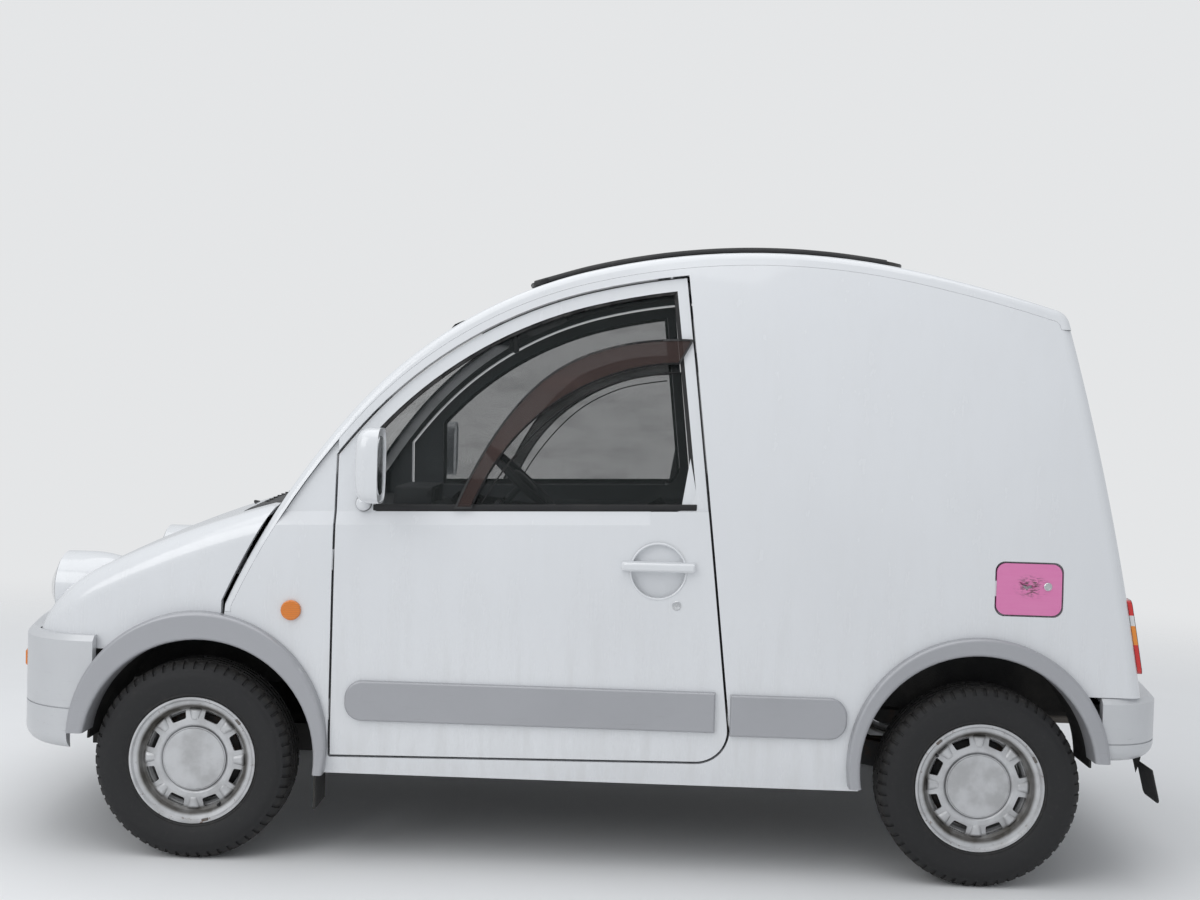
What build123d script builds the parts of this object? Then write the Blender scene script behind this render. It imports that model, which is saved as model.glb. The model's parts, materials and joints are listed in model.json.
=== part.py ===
"""Small one-box panel van with a high round roof arch, frog-eye headlamps and a folding canvas roof.

The nose points to -X, the van's left side to -Y and +Z is up, in millimetres.
The origin is on the ground under the middle of the overall length.
"""

from build123d import *
import math
import os

# Overall sizes
overall_length = 3480.0
wheelbase = 2260.0
front_overhang = 635.0
nose_x = -overall_length / 2
tail_x = overall_length / 2
front_axle_x = nose_x + front_overhang
rear_axle_x = front_axle_x + wheelbase
door_gap = 7.0
lid_gap = 6.0
fender_gap = 6.0
seam_gap = 0.6
seat_gap = 0.3

# Cross-section of the body: upright flanks that lean in above the waist
body_half_width = 770.0
waist_z = 750.0
lean_radius = 3620.0
lean_angle = 18.0
tuck_z = 400.0
tuck_radius = 600.0
tuck_angle = 17.0
side_wall = 55.0
roof_wall = 42.0
gate_wall = 50.0
roof_crown = 38.0
crown_reach = 700.0
section_reach = 790.0

# Roof arch in side view, from the foot of the screen pillar to the tail: radius and turn in degrees
arch_foot_x = front_axle_x + 81.8
arch_foot_z = 749.0
arch_heading = 66.3
front_arcs = ((2270.0, 16.5), (1315.0, 35.2), (2136.0, 27.0))
roof_flat = wheelbase - 2220.0
rear_arcs = ((4049.0, 4.7), (48.0, 58.7), (13720.0, 4.6))
roof_edge_round = 26.0
tail_edge_round = 40.0
seam_inset = 28.0
pillar_base_z = 979.0
pillar_foot_z = 722.0
pillar_half = 640.0
corner_seam_x = rear_axle_x + 195.0
corner_seam_z = 1600.0
body_floor_z = 240.0
tail_panel_z = 560.0
sill_z = 265.0

# Wheels
tyre_radius = 286.0
tyre_width = 155.0
track = 1380.0
rim_radius = 183.0
bead_radius = 165.0
cap_radius = 88.0
window_ring_radius = 130.0
window_width = 54.0
window_height = 26.0
rim_slots = 8
axle_z = tyre_radius
kingpin_y = 640.0

# Wheel arches: x and z of the opening, radius of the opening, x, z and radius of the moulding's outer edge
front_arch = (front_axle_x + 23.0, 307.0, 334.0, front_axle_x + 18.0, 346.0, 375.0)
rear_arch = (rear_axle_x - 16.0, 338.0, 330.0, rear_axle_x - 13.0, 349.0, 370.0)
lip_wall = 5.0
flare_face = 797.0
flare_round = 12.0
front_flare_feet = (362.0, 265.0)
rear_flare_feet = (279.0, 376.0)
liner_wall = 6.0
front_liner_inner = 430.0
rear_liner_inner = 560.0

# Doors
door_inset = 57.0
door_front_x = front_axle_x + 401.0
door_corner_x = rear_axle_x - 714.0
door_top_x = rear_axle_x - 888.0
door_top_z = 1850.0
door_bottom_front_z = 320.0
door_bottom_rear_z = 338.0
door_corner_round = 90.0
door_wall = 55.0
frame_inset = 12.0
frame_wall = 28.0
belt_z = 1018.0
belt_slope = 0.03
belt_chamfer = 38.0
belt_lean = 0.0021
window_margin = 36.0
window_front_x = front_axle_x + 512.0
window_rear_low_x = rear_axle_x - 826.0
window_rear_high_x = rear_axle_x - 920.0
glass_inset = 24.0
glass_wall = 5.0
glass_gap = 0.5
visor_crest = ((738.0, 1036.0), (836.0, 1236.0), (1028.0, 1450.0), (1254.0, 1531.0), (1411.0, 1541.0))
visor_foot = ((789.0, 1038.0), (827.0, 1122.0), (921.0, 1258.0), (1144.0, 1416.0), (1371.0, 1468.0))
hinge_clear = 0.4

# Nose in side view from the cowl forwards, and in plan: radius and turn in degrees
hood_rear_x = front_axle_x + 105.0
nose_start_x = front_axle_x + 200.0
nose_start_z = 1025.0
nose_heading = 16.0
nose_arcs = ((2800.0, 11.0), (420.0, 50.0))
nose_foot_z = 520.0
nose_crown = 28.0
nose_half_width = 764.0
nose_taper = 2.0
nose_straight = 520.0
nose_corner = 215.0
nose_corner_turn = 70.0
nose_bow = 1825.0
nose_bow_turn = 17.0
nose_wall = 25.0
nose_edge_round = 80.0
hood_wall = 20.0
hood_half_front = 352.0
hood_half_rear = 560.0
hood_lip_z = 745.0
hood_corner = 40.0
hood_front_x = front_axle_x - 560.0
cowl_half_width = 640.0
grille_half_width = 366.0
grille_low_z = 600.0
grille_slots = 4

# Headlamp pods
pod_y = 490.0
pod_z = 745.0
pod_radius = 107.0
pod_front_x = front_axle_x - 470.0
pod_straight = 70.0
pod_tail = 190.0
lamp_radius = 90.0
lamp_depth = 30.0
lamp_dome = 45.0

# Bumpers
bumper_wall = 30.0
bumper_half_width = 783.0
front_bumper_z = (309.0, 640.0)
front_bumper_corner_x = front_axle_x - 318.0
front_bumper_corner = 230.0
front_bumper_turn = 72.1
rear_bumper_z = (376.0, 558.0)
rear_bumper_corner_x = rear_axle_x + 353.0
rear_bumper_corner = 170.0
rear_bumper_turn = 78.3
bumper_tuck = 45.0
bumper_groove_z = 430.0
bumper_groove = 4.0
bumper_chamfer = 15.0

# Side strips: height span at the door and behind it
door_strip = (front_axle_x + 442.0, rear_axle_x - 761.0, 423.0, 538.0)
rear_strip = (rear_axle_x - 718.0, rear_axle_x - 387.0, 415.0, 533.0)
strip_proud = 15.0

# Floor and inside
cabin_floor_z = 330.0
load_floor_z = 530.0
floor_wall = 30.0
floor_step_x = rear_axle_x - 790.0
floor_rear_x = rear_axle_x + 430.0
floor_edge = 714.0
bulkhead_x = front_axle_x + 112.0
bulkhead_wall = 14.0
rail_y = 370.0
rail_width = 60.0

os.makedirs("parts", exist_ok=True)


def span_box(x_span, y_span, z_span):
    """Box between two values on each axis."""
    middle = tuple((low + high) / 2 for low, high in (x_span, y_span, z_span))
    with BuildPart() as box:
        with Locations(middle):
            Box(x_span[1] - x_span[0], y_span[1] - y_span[0], z_span[1] - z_span[0])
    return box.part


def side_prism(points, y_low, y_high):
    """Prism of a closed side-view outline between two widths."""
    with BuildPart() as prism:
        with BuildSketch(Plane.XZ.offset(-y_high)):
            with BuildLine():
                Polyline(*points, close=True)
            make_face()
        extrude(amount=y_high - y_low)
    return prism.part


def side_disc(x, z, radius, y_low, y_high):
    """Disc lying along Y between two widths."""
    with BuildPart() as disc:
        with BuildSketch(Plane.XZ.offset(-y_high)):
            with Locations((x, z)):
                Circle(radius)
        extrude(amount=y_high - y_low)
    return disc.part


def mirrored(piece):
    """The same piece on the van's other side."""
    with BuildPart() as other:
        add(piece)
        mirror(about=Plane.XZ, mode=Mode.REPLACE)
    return other.part


def arch_sketch(plane, inset):
    """Face under the roof arch, its arch moved inwards by inset."""
    heading = math.radians(arch_heading)
    here = Vector(arch_foot_x + inset * math.sin(heading), arch_foot_z - inset * math.cos(heading))
    along = Vector(math.cos(heading), math.sin(heading))
    foot = here
    with BuildSketch(plane) as outline:
        with BuildLine():
            for radius, turn in front_arcs:
                bend = JernArc(start=here, tangent=along, radius=radius - inset, arc_size=-turn)
                here, along = bend @ 1, bend % 1
            flat = Line(here, here + along * roof_flat)
            here = flat @ 1
            for radius, turn in rear_arcs:
                bend = JernArc(start=here, tangent=along, radius=max(radius - inset, 5.0), arc_size=-turn)
                here, along = bend @ 1, bend % 1
            Polyline(here, (here.X, body_floor_z), (foot.X, body_floor_z), foot)
        make_face()
    return outline.sketch


def crowned_arch(inset):
    """Body under the arch, higher along its middle by the roof crown."""
    edge_inset = roof_crown * ((section_reach / crown_reach) ** 2 - 1)
    with BuildPart() as body:
        for y, drop in ((-section_reach, edge_inset), (0.0, -roof_crown), (section_reach, edge_inset)):
            add(arch_sketch(Plane.XZ.offset(y), inset + drop))
        loft()
    return body.part


def arch_prism(inset, y_low=-900.0, y_high=900.0):
    """Straight prism of the arch outline between two widths."""
    with BuildPart() as prism:
        extrude(arch_sketch(Plane.XZ.offset(-y_high), inset), amount=y_high - y_low, dir=(0, -1, 0))
    return prism.part


def flank_prism(inset, x_low=-1900.0, x_high=1900.0):
    """Prism of the body's cross-section, its flanks moved inwards by inset."""
    half = body_half_width - inset
    with BuildPart() as prism:
        with BuildSketch(Plane.YZ.offset(x_low)):
            with BuildLine():
                upright = Line((half, tuck_z), (half, waist_z))
                lean = JernArc(start=upright @ 1, tangent=(0, 1), radius=lean_radius - inset,
                               arc_size=lean_angle)
                tuck = JernArc(start=upright @ 0, tangent=(0, -1), radius=tuck_radius - inset,
                               arc_size=-tuck_angle)
                Line(lean @ 1, (0, (lean @ 1).Y))
                Line(tuck @ 1, (0, (tuck @ 1).Y))
                mirror(about=Plane.YZ)
            make_face()
        extrude(amount=x_high - x_low)
    return prism.part


def flank_layer(outer, inner):
    """Both flanks' skin between two insets."""
    with BuildPart() as layer:
        add(flank_prism(outer))
        add(flank_prism(inner), mode=Mode.SUBTRACT)
    return layer.part


def nose_sketch(plane, inset):
    """Face under the nose line in side view, moved inwards by inset."""
    heading = math.radians(180.0 + nose_heading)
    here = Vector(nose_start_x - inset * math.sin(heading), nose_start_z + inset * math.cos(heading))
    along = Vector(math.cos(heading), math.sin(heading))
    top = here
    with BuildSketch(plane) as outline:
        with BuildLine():
            for radius, turn in nose_arcs:
                bend = JernArc(start=here, tangent=along, radius=radius - inset, arc_size=turn)
                here, along = bend @ 1, bend % 1
            fall = (here.Y - nose_foot_z) / -along.Y
            Polyline(here, here + along * fall, (nose_start_x + 60.0, nose_foot_z),
                     (nose_start_x + 60.0, top.Y), top)
        make_face()
    return outline.sketch


def nose_plan(inset):
    """Plan outline of the nose, moved inwards by inset."""
    taper = math.radians(180.0 - nose_taper)
    with BuildSketch(Plane.XY.offset(nose_foot_z - 20.0)) as plan:
        with BuildLine():
            flank = Line((nose_start_x, nose_half_width - inset),
                         (nose_start_x - nose_straight, nose_half_width - inset
                          - nose_straight * math.tan(math.radians(nose_taper))))
            corner = JernArc(start=flank @ 1, tangent=flank % 1, radius=nose_corner - inset,
                             arc_size=nose_corner_turn)
            bow = JernArc(start=corner @ 1, tangent=corner % 1, radius=nose_bow - inset,
                          arc_size=nose_bow_turn)
            Line(bow @ 1, ((bow @ 1).X, 0))
            Polyline(flank @ 0, (nose_start_x + 60.0, nose_half_width - inset), (nose_start_x + 60.0, 0))
            mirror(about=Plane.XZ)
        make_face()
    return plan.sketch


def nose_form(inset):
    """Solid nose, crowned across and rounded in plan."""
    edge_inset = nose_crown * ((section_reach / crown_reach) ** 2 - 1)
    with BuildPart() as nose:
        for y, drop in ((-section_reach, edge_inset), (0.0, -nose_crown), (section_reach, edge_inset)):
            add(nose_sketch(Plane.XZ.offset(y), inset + drop))
        loft()
        extrude(nose_plan(inset), amount=700.0, dir=(0, 0, 1), mode=Mode.INTERSECT)
    return nose.part


def door_face(plane, shrink):
    """Outline of the door, made smaller all round by shrink."""
    with BuildSketch(plane) as door:
        with BuildLine():
            Polyline((door_front_x, door_bottom_front_z), (door_corner_x, door_bottom_rear_z),
                     (door_top_x, door_top_z), (door_front_x, door_top_z), close=True)
        make_face()
        fillet(door.vertices().group_by(Axis.X)[-1], radius=door_corner_round)
        if shrink:
            offset(amount=-shrink, mode=Mode.REPLACE)
        add(arch_sketch(plane, door_inset + shrink), mode=Mode.INTERSECT)
    return door.sketch


def window_face(plane, shrink):
    """Outline of the door window, made smaller all round by shrink."""
    low_z = belt_z + 3.0
    rise = belt_slope * (window_rear_low_x - window_front_x)
    with BuildSketch(plane) as window:
        with BuildLine():
            Polyline((window_front_x, low_z), (window_rear_low_x, low_z + rise),
                     (window_rear_high_x, door_top_z), (window_front_x, door_top_z), close=True)
        make_face()
        fillet(window.vertices().group_by(Axis.X)[-1], radius=60.0)
        if shrink:
            offset(amount=-shrink, mode=Mode.REPLACE)
        add(arch_sketch(plane, door_inset + window_margin + shrink), mode=Mode.INTERSECT)
    return window.sketch


def face_prism(sketch_of, shrink, y_low, y_high):
    """Prism of a door or window outline between two widths."""
    with BuildPart() as prism:
        extrude(sketch_of(Plane.XZ.offset(-y_high), shrink), amount=y_high - y_low, dir=(0, -1, 0))
    return prism.part


def flank_half_at(z):
    """Half-width of the body at a height above the waist."""
    return body_half_width - lean_radius + math.sqrt(lean_radius ** 2 - (z - waist_z) ** 2)


def belt_wedge(x_low, x_high):
    """Left-hand wedge that chamfers the flank under the belt line, between two stations."""
    low_z = belt_z - belt_chamfer
    low_y = flank_half_at(low_z)
    high_y = flank_half_at(belt_z) - frame_inset
    with BuildPart() as wedge:
        with BuildSketch(Plane.YZ.offset(door_front_x)):
            with BuildLine():
                Polyline((-low_y - 40.0, low_z), (-low_y, low_z), (-high_y, belt_z),
                         (-high_y, belt_z + 1.0), (-low_y - 40.0, belt_z + 1.0), close=True)
            make_face()
        extrude(amount=900.0, dir=(1.0, belt_lean, belt_slope))
        extrude(wedge.faces().sort_by(Axis.X)[0], amount=500.0, dir=(-1.0, -belt_lean, -belt_slope))
        add(span_box((x_low, x_high), (-900.0, -600.0), (800.0, 1200.0)), mode=Mode.INTERSECT)
    return wedge.part


def above_belt(x_low, x_high, z_high):
    """Prism of the left flank above the belt line, between two stations."""
    front_z, rear_z = [belt_z + belt_slope * (x - door_front_x) for x in (x_low, x_high)]
    return side_prism(((x_low, front_z), (x_high, rear_z), (x_high, z_high), (x_low, z_high)),
                      -900.0, -300.0)


def rear_view_prism(low_z, low_half, high_z, high_half, x_span, corner=0.0):
    """Prism along X of an upright trapezoid seen from behind."""
    with BuildPart() as prism:
        with BuildSketch(Plane.YZ.offset(x_span[0])) as view:
            with BuildLine():
                Polyline((-low_half, low_z), (low_half, low_z), (high_half, high_z),
                         (-high_half, high_z), close=True)
            make_face()
            if corner:
                fillet(view.vertices(), radius=corner)
        extrude(amount=x_span[1] - x_span[0])
    return prism.part


def side_zone(slack):
    """Where the side panels lie: under the roof seam, below the pillar foot and round the tail."""
    with BuildPart() as zone:
        with BuildSketch(Plane.XZ.offset(-900.0)):
            add(arch_sketch(Plane.XY, seam_inset - slack))
            with Locations((-900.0, (200.0 + pillar_foot_z + slack) / 2)):
                Rectangle(1800.0, pillar_foot_z + slack - 200.0)
            with Locations(((corner_seam_x - slack + 1900.0) / 2, (200.0 + corner_seam_z + slack) / 2)):
                Rectangle(1900.0 - corner_seam_x + slack, corner_seam_z + slack - 200.0)
        extrude(amount=1800.0)
    return zone.part


# The closed outer form
with BuildPart() as outer_form:
    add(crowned_arch(0.0))
    add(flank_prism(0.0), mode=Mode.INTERSECT)

inner_arch = crowned_arch(roof_wall)
front_hole = side_disc(front_arch[0], front_arch[1], front_arch[2] + lip_wall + 1.0, -900.0, 900.0)
rear_hole = side_disc(rear_arch[0], rear_arch[1], rear_arch[2] + lip_wall + 1.0, -900.0, 900.0)
left_half = span_box((-1900.0, 1900.0), (-900.0, -300.0), (0.0, 2000.0))

# Fuel filler opening in the left flank
flap_span_x = (rear_axle_x + 21.0, rear_axle_x + 208.0)
flap_span_z = (785.0, 934.0)
with BuildPart() as flap_hole:
    with BuildSketch(Plane.XZ.offset(700.0)):
        with Locations((sum(flap_span_x) / 2, sum(flap_span_z) / 2)):
            RectangleRounded(flap_span_x[1] - flap_span_x[0] + 6.0,
                             flap_span_z[1] - flap_span_z[0] + 6.0, 28.0)
    extrude(amount=100.0)

# The panel ahead of the door is set in above the belt
with BuildPart() as set_in_zone:
    add(flank_layer(-20.0, frame_inset))
    add(above_belt(-1300.0, door_front_x, 1300.0), mode=Mode.INTERSECT)

# Opening of the tailgate, and the space inside the wall that wraps round the tail
gate_front_x = rear_axle_x + 85.0
gate_low_half = 640.0
gate_high_half = 585.0
gate_high_z = 1850.0
gate_hole = rear_view_prism(tail_panel_z - 60.0, gate_low_half + lid_gap, gate_high_z,
                            gate_high_half + lid_gap, (gate_front_x - lid_gap, 1900.0))
with BuildPart() as tail_inside:
    add(flank_prism(side_wall, corner_seam_x, 1900.0))
    add(inner_arch, mode=Mode.INTERSECT)
with BuildPart() as tail_top:
    add(flank_prism(side_wall, corner_seam_x, 1900.0))
    add(span_box((corner_seam_x, 1900.0), (-900.0, 900.0), (corner_seam_z - seam_gap / 2, 2000.0)),
        mode=Mode.INTERSECT)

# Side panels with the door openings, wheel arches and sills
hinge_heights = (450.0, 880.0)
with BuildPart() as side_blank:
    add(outer_form.part)
    add(left_half, mode=Mode.INTERSECT)
    add(flank_prism(side_wall, x_high=corner_seam_x + seam_gap), mode=Mode.SUBTRACT)
    add(tail_inside.part, mode=Mode.SUBTRACT)
    add(tail_top.part, mode=Mode.SUBTRACT)
    add(side_zone(-seam_gap / 2), mode=Mode.INTERSECT)
    add(gate_hole, mode=Mode.SUBTRACT)
    add(face_prism(door_face, -door_gap, -900.0, -300.0), mode=Mode.SUBTRACT)
    add(front_hole, mode=Mode.SUBTRACT)
    add(rear_hole, mode=Mode.SUBTRACT)
    add(span_box((-1900.0, 1900.0), (-900.0, 0.0), (0.0, sill_z)), mode=Mode.SUBTRACT)
    add(span_box((-1900.0, front_axle_x + 200.0), (-900.0, 0.0), (0.0, 500.0)), mode=Mode.SUBTRACT)
    add(span_box((rear_axle_x + 100.0, 1900.0), (-900.0, 0.0), (0.0, tail_panel_z)), mode=Mode.SUBTRACT)
    tail_edges = [edge for edge in side_blank.edges()
                  if (edge @ 0.5).X > corner_seam_x + 20.0 and (edge @ 0.5).Y < -700.0
                  and abs((edge @ 0).Z - (edge @ 1).Z) > 100.0
                  and abs((edge @ 0.5).Y) > flank_half_at(max((edge @ 0.5).Z, waist_z)) - 2.0]
    fillet(tail_edges, radius=tail_edge_round)
    add(belt_wedge(-1300.0, door_front_x), mode=Mode.SUBTRACT)
    add(set_in_zone.part, mode=Mode.SUBTRACT)
    for z in hinge_heights:
        add(span_box((door_front_x - door_gap - 12.0, door_front_x - hinge_clear), (-763.0, -747.0),
                     (z - 30.0, z + 30.0)))

cap_x = sum(flap_span_x) / 2
cap_z = sum(flap_span_z) / 2
cup_depth = 26.0
with BuildPart() as filler_cup:
    add(flap_hole.part)
    add(flank_layer(cup_depth, side_wall), mode=Mode.INTERSECT)
with BuildPart() as side_panel_left:
    add(side_blank.part)
    add(flap_hole.part, mode=Mode.SUBTRACT)
    add(filler_cup.part)
    with BuildSketch(Plane.XZ.offset(body_half_width - 40.0)):
        with Locations((cap_x, cap_z)):
            Circle(32.0)
    extrude(amount=26.0)
    add(span_box((flap_span_x[0] - 10.0, flap_span_x[0] + 2.0 - hinge_clear), (-766.0, -760.0),
                 (cap_z - 22.0, cap_z + 22.0)))

side_panel_left.part.label = "side_panel_left"
export_step(side_panel_left.part, "parts/side_panel_left.step")

side_panel_right = mirrored(side_blank.part)
side_panel_right.label = "side_panel_right"
export_step(side_panel_right, "parts/side_panel_right.step")

# Roof and screen frame in one shell
screen_span_z = (1035.0, 1585.0)
screen_span_x = (-1100.0, -250.0)
screen_half = (690.0, 585.0)
canvas_span_x = (front_axle_x + 912.0, rear_axle_x - 217.0)
canvas_half = 540.0
canvas_proud = 18.0
canvas_hole_margin = 60.0

screen_hole = rear_view_prism(screen_span_z[0], screen_half[0], screen_span_z[1], screen_half[1],
                              screen_span_x, 55.0)

with BuildPart() as flank_zone:
    add(side_zone(seam_gap / 2))
    add(flank_prism(side_wall + seam_gap), mode=Mode.SUBTRACT)

with BuildPart() as rounded_form:
    add(outer_form.part)
    roof_edges = [edge for edge in rounded_form.edges()
                  if abs((edge @ 0.5).Y) > 500.0 and (edge @ 0.5).Z > waist_z
                  and (edge @ 0.5).X < corner_seam_x - 20.0]
    fillet(roof_edges, radius=roof_edge_round)
with BuildPart() as roof_frame:
    add(rounded_form.part)
    add(inner_arch, mode=Mode.SUBTRACT)
    add(flank_zone.part, mode=Mode.SUBTRACT)
    add(span_box((-1900.0, 0.0), (-pillar_half, pillar_half), (0.0, pillar_base_z)), mode=Mode.SUBTRACT)
    add(span_box((-1900.0, 0.0), (-900.0, 900.0), (0.0, pillar_foot_z)), mode=Mode.SUBTRACT)
    add(span_box((0.0, 1900.0), (-900.0, 900.0), (0.0, corner_seam_z + seam_gap / 2)), mode=Mode.SUBTRACT)
    add(screen_hole, mode=Mode.SUBTRACT)
    add(gate_hole, mode=Mode.SUBTRACT)
    with BuildSketch(Plane.XY.offset(1600.0)):
        with Locations((sum(canvas_span_x) / 2, 0.0)):
            RectangleRounded(canvas_span_x[1] - canvas_span_x[0] - 2 * canvas_hole_margin,
                             2 * (canvas_half - canvas_hole_margin), 40.0)
    extrude(amount=300.0, mode=Mode.SUBTRACT)
    for y in (-400.0, 400.0):
        add(span_box((gate_front_x - lid_gap - 10.0, gate_front_x - hinge_clear), (y - 40.0, y + 40.0),
                     (1686.0, 1702.0)))

roof_frame.part.label = "roof_frame"
export_step(roof_frame.part, "parts/roof_frame.step")

# Folded-shut canvas top lying on the roof round its opening
with BuildPart() as canvas_roof:
    add(crowned_arch(-canvas_proud))
    add(crowned_arch(-seat_gap), mode=Mode.SUBTRACT)
    with BuildSketch(Plane.XY.offset(1600.0)):
        with Locations((sum(canvas_span_x) / 2, 0.0)):
            RectangleRounded(canvas_span_x[1] - canvas_span_x[0], 2 * canvas_half, 60.0)
    extrude(amount=300.0, mode=Mode.INTERSECT)

canvas_roof.part.label = "canvas_roof"
export_step(canvas_roof.part, "parts/canvas_roof.step")

# Windscreen
with BuildPart() as windscreen:
    add(crowned_arch(6.0))
    add(crowned_arch(6.0 + glass_wall), mode=Mode.SUBTRACT)
    add(rear_view_prism(screen_span_z[0] + glass_gap, screen_half[0] - glass_gap,
                        screen_span_z[1] - glass_gap, screen_half[1] - glass_gap,
                        screen_span_x, 54.5), mode=Mode.INTERSECT)

windscreen.part.label = "windscreen"
export_step(windscreen.part, "parts/windscreen.step")

# Tailgate, hinged along its front edge on the roof
gate_glass_z = (1040.0, 1500.0)
gate_glass_half = (500.0, 450.0)
gate_window = rear_view_prism(gate_glass_z[0], gate_glass_half[0], gate_glass_z[1], gate_glass_half[1],
                              (1200.0, 1900.0), 60.0)
with BuildPart() as tailgate:
    add(crowned_arch(0.0))
    add(crowned_arch(gate_wall), mode=Mode.SUBTRACT)
    add(rear_view_prism(tail_panel_z + lid_gap, gate_low_half, gate_high_z, gate_high_half,
                        (gate_front_x, 1900.0)), mode=Mode.INTERSECT)
    add(gate_window, mode=Mode.SUBTRACT)

tailgate.part.label = "tailgate"
export_step(tailgate.part, "parts/tailgate.step")

with BuildPart() as tailgate_glass:
    add(crowned_arch(8.0))
    add(crowned_arch(8.0 + glass_wall), mode=Mode.SUBTRACT)
    add(rear_view_prism(gate_glass_z[0] + glass_gap, gate_glass_half[0] - glass_gap,
                        gate_glass_z[1] - glass_gap, gate_glass_half[1] - glass_gap,
                        (1200.0, 1900.0), 59.5), mode=Mode.INTERSECT)

tailgate_glass.part.label = "tailgate_glass"
export_step(tailgate_glass.part, "parts/tailgate_glass.step")

# Doors: slab below the belt, thinner set-in frame round the window above it
below_belt = ((-1300.0, 0.0), (700.0, 0.0), (700.0, belt_z + belt_slope * (700.0 - door_front_x)),
              (-1300.0, belt_z + belt_slope * (-1300.0 - door_front_x)))
handle_x = rear_axle_x - 934.0
handle_z = 877.0
handle_cup = 78.0
handle_bar = (206.0, 30.0, 14.0)
door_prism = face_prism(door_face, 0.0, -900.0, -300.0)
with BuildPart() as door_low:
    add(flank_layer(0.0, door_wall))
    add(door_prism, mode=Mode.INTERSECT)
    add(side_prism(below_belt, -900.0, -300.0), mode=Mode.INTERSECT)
    with BuildSketch(Plane.XZ.offset(900.0)):
        with Locations((handle_x, handle_z)):
            Circle(handle_cup)
    extrude(amount=-(900.0 - body_half_width + 24.0), mode=Mode.SUBTRACT)
    add(belt_wedge(-1300.0, 700.0), mode=Mode.SUBTRACT)
with BuildPart() as door_high:
    add(flank_layer(frame_inset, frame_inset + frame_wall))
    add(door_prism, mode=Mode.INTERSECT)
    add(side_prism(((-1300.0, 900.0), (700.0, 900.0), (700.0, 1900.0), (-1300.0, 1900.0)), -900.0, -300.0),
        mode=Mode.INTERSECT)
    add(face_prism(window_face, 0.0, -900.0, -300.0), mode=Mode.SUBTRACT)
with BuildPart() as door_left:
    add(door_low.part)
    add(door_high.part)
    with Locations((handle_x, -body_half_width + 12.0, handle_z + 13.0)):
        Box(handle_bar[0], 38.0, handle_bar[1])

door_right = mirrored(door_left.part)
door_left.part.label = "door_left"
export_step(door_left.part, "parts/door_left.step")
door_right.label = "door_right"
export_step(door_right, "parts/door_right.step")

with BuildPart() as door_glass_left:
    add(flank_layer(glass_inset, glass_inset + glass_wall))
    add(face_prism(window_face, glass_gap, -900.0, -300.0), mode=Mode.INTERSECT)

door_glass_right = mirrored(door_glass_left.part)
door_glass_left.part.label = "door_glass_left"
export_step(door_glass_left.part, "parts/door_glass_left.step")
door_glass_right.label = "door_glass_right"
export_step(door_glass_right, "parts/door_glass_right.step")

# Smoked visor arched over the drop pane, hooked over the window frame
with BuildPart() as visor_left:
    with BuildSketch(Plane.XZ.offset(500.0)):
        with BuildLine():
            crest = Spline([(front_axle_x + x, z) for x, z in visor_crest])
            foot = Spline([(front_axle_x + x, z) for x, z in visor_foot])
            Line(crest @ 0, foot @ 0)
            Line(crest @ 1, foot @ 1)
        make_face()
    extrude(amount=400.0)
    add(flank_layer(4.0, frame_inset - seat_gap), mode=Mode.INTERSECT)

visor_right = mirrored(visor_left.part)
visor_left.part.label = "visor_left"
export_step(visor_left.part, "parts/visor_left.step")
visor_right.label = "visor_right"
export_step(visor_right, "parts/visor_right.step")

# Silver strips on the door skins, rounded at the front
with BuildPart() as door_strip_left:
    with BuildSketch(Plane.XZ.offset(body_half_width + seat_gap)) as strip_side:
        with Locations(((door_strip[0] + door_strip[1]) / 2, (door_strip[2] + door_strip[3]) / 2)):
            Rectangle(door_strip[1] - door_strip[0], door_strip[3] - door_strip[2])
        fillet(strip_side.vertices().group_by(Axis.X)[0], radius=50.0)
    extrude(amount=strip_proud)
    fillet(door_strip_left.faces().sort_by(Axis.Y)[0].edges(), radius=7.0)

door_strip_right = mirrored(door_strip_left.part)
door_strip_left.part.label = "door_strip_left"
export_step(door_strip_left.part, "parts/door_strip_left.step")
door_strip_right.label = "door_strip_right"
export_step(door_strip_right, "parts/door_strip_right.step")

# Door mirrors: pod on a round sail at the window's front corner
mirror_x = front_axle_x + 514.0
mirror_z = 1157.0
mirror_y = 848.0
mirror_size = (78.0, 150.0, 215.0)
mirror_foot = (front_axle_x + 478.0, 1043.5, 20.0)
with BuildPart() as mirror_left:
    with BuildSketch(Plane.YZ.offset(mirror_x - mirror_size[0] / 2)):
        with Locations((-mirror_y, mirror_z)):
            RectangleRounded(mirror_size[1], mirror_size[2], 72.0)
    extrude(amount=mirror_size[0])
    fillet(mirror_left.edges().group_by(Axis.X)[0], radius=44.0)
    fillet(mirror_left.edges().group_by(Axis.X)[-1], radius=10.0)
    with Locations(Location((mirror_foot[0], -760.0, mirror_foot[1]), (90, 0, 0))):
        Cylinder(mirror_foot[2], 56.0)
    add(side_prism(((mirror_foot[0] - 4.0, mirror_foot[1]), (mirror_foot[0] + 20.0, mirror_foot[1] - 10.0),
                    (mirror_x + 12.0, mirror_z - 60.0), (mirror_x - 22.0, mirror_z - 60.0)), -806.0, -782.0))
    add(flank_prism(frame_inset - seat_gap), mode=Mode.SUBTRACT)

mirror_right = mirrored(mirror_left.part)
mirror_left.part.label = "mirror_left"
export_step(mirror_left.part, "parts/mirror_left.step")
mirror_right.label = "mirror_right"
export_step(mirror_right, "parts/mirror_right.step")

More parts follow.
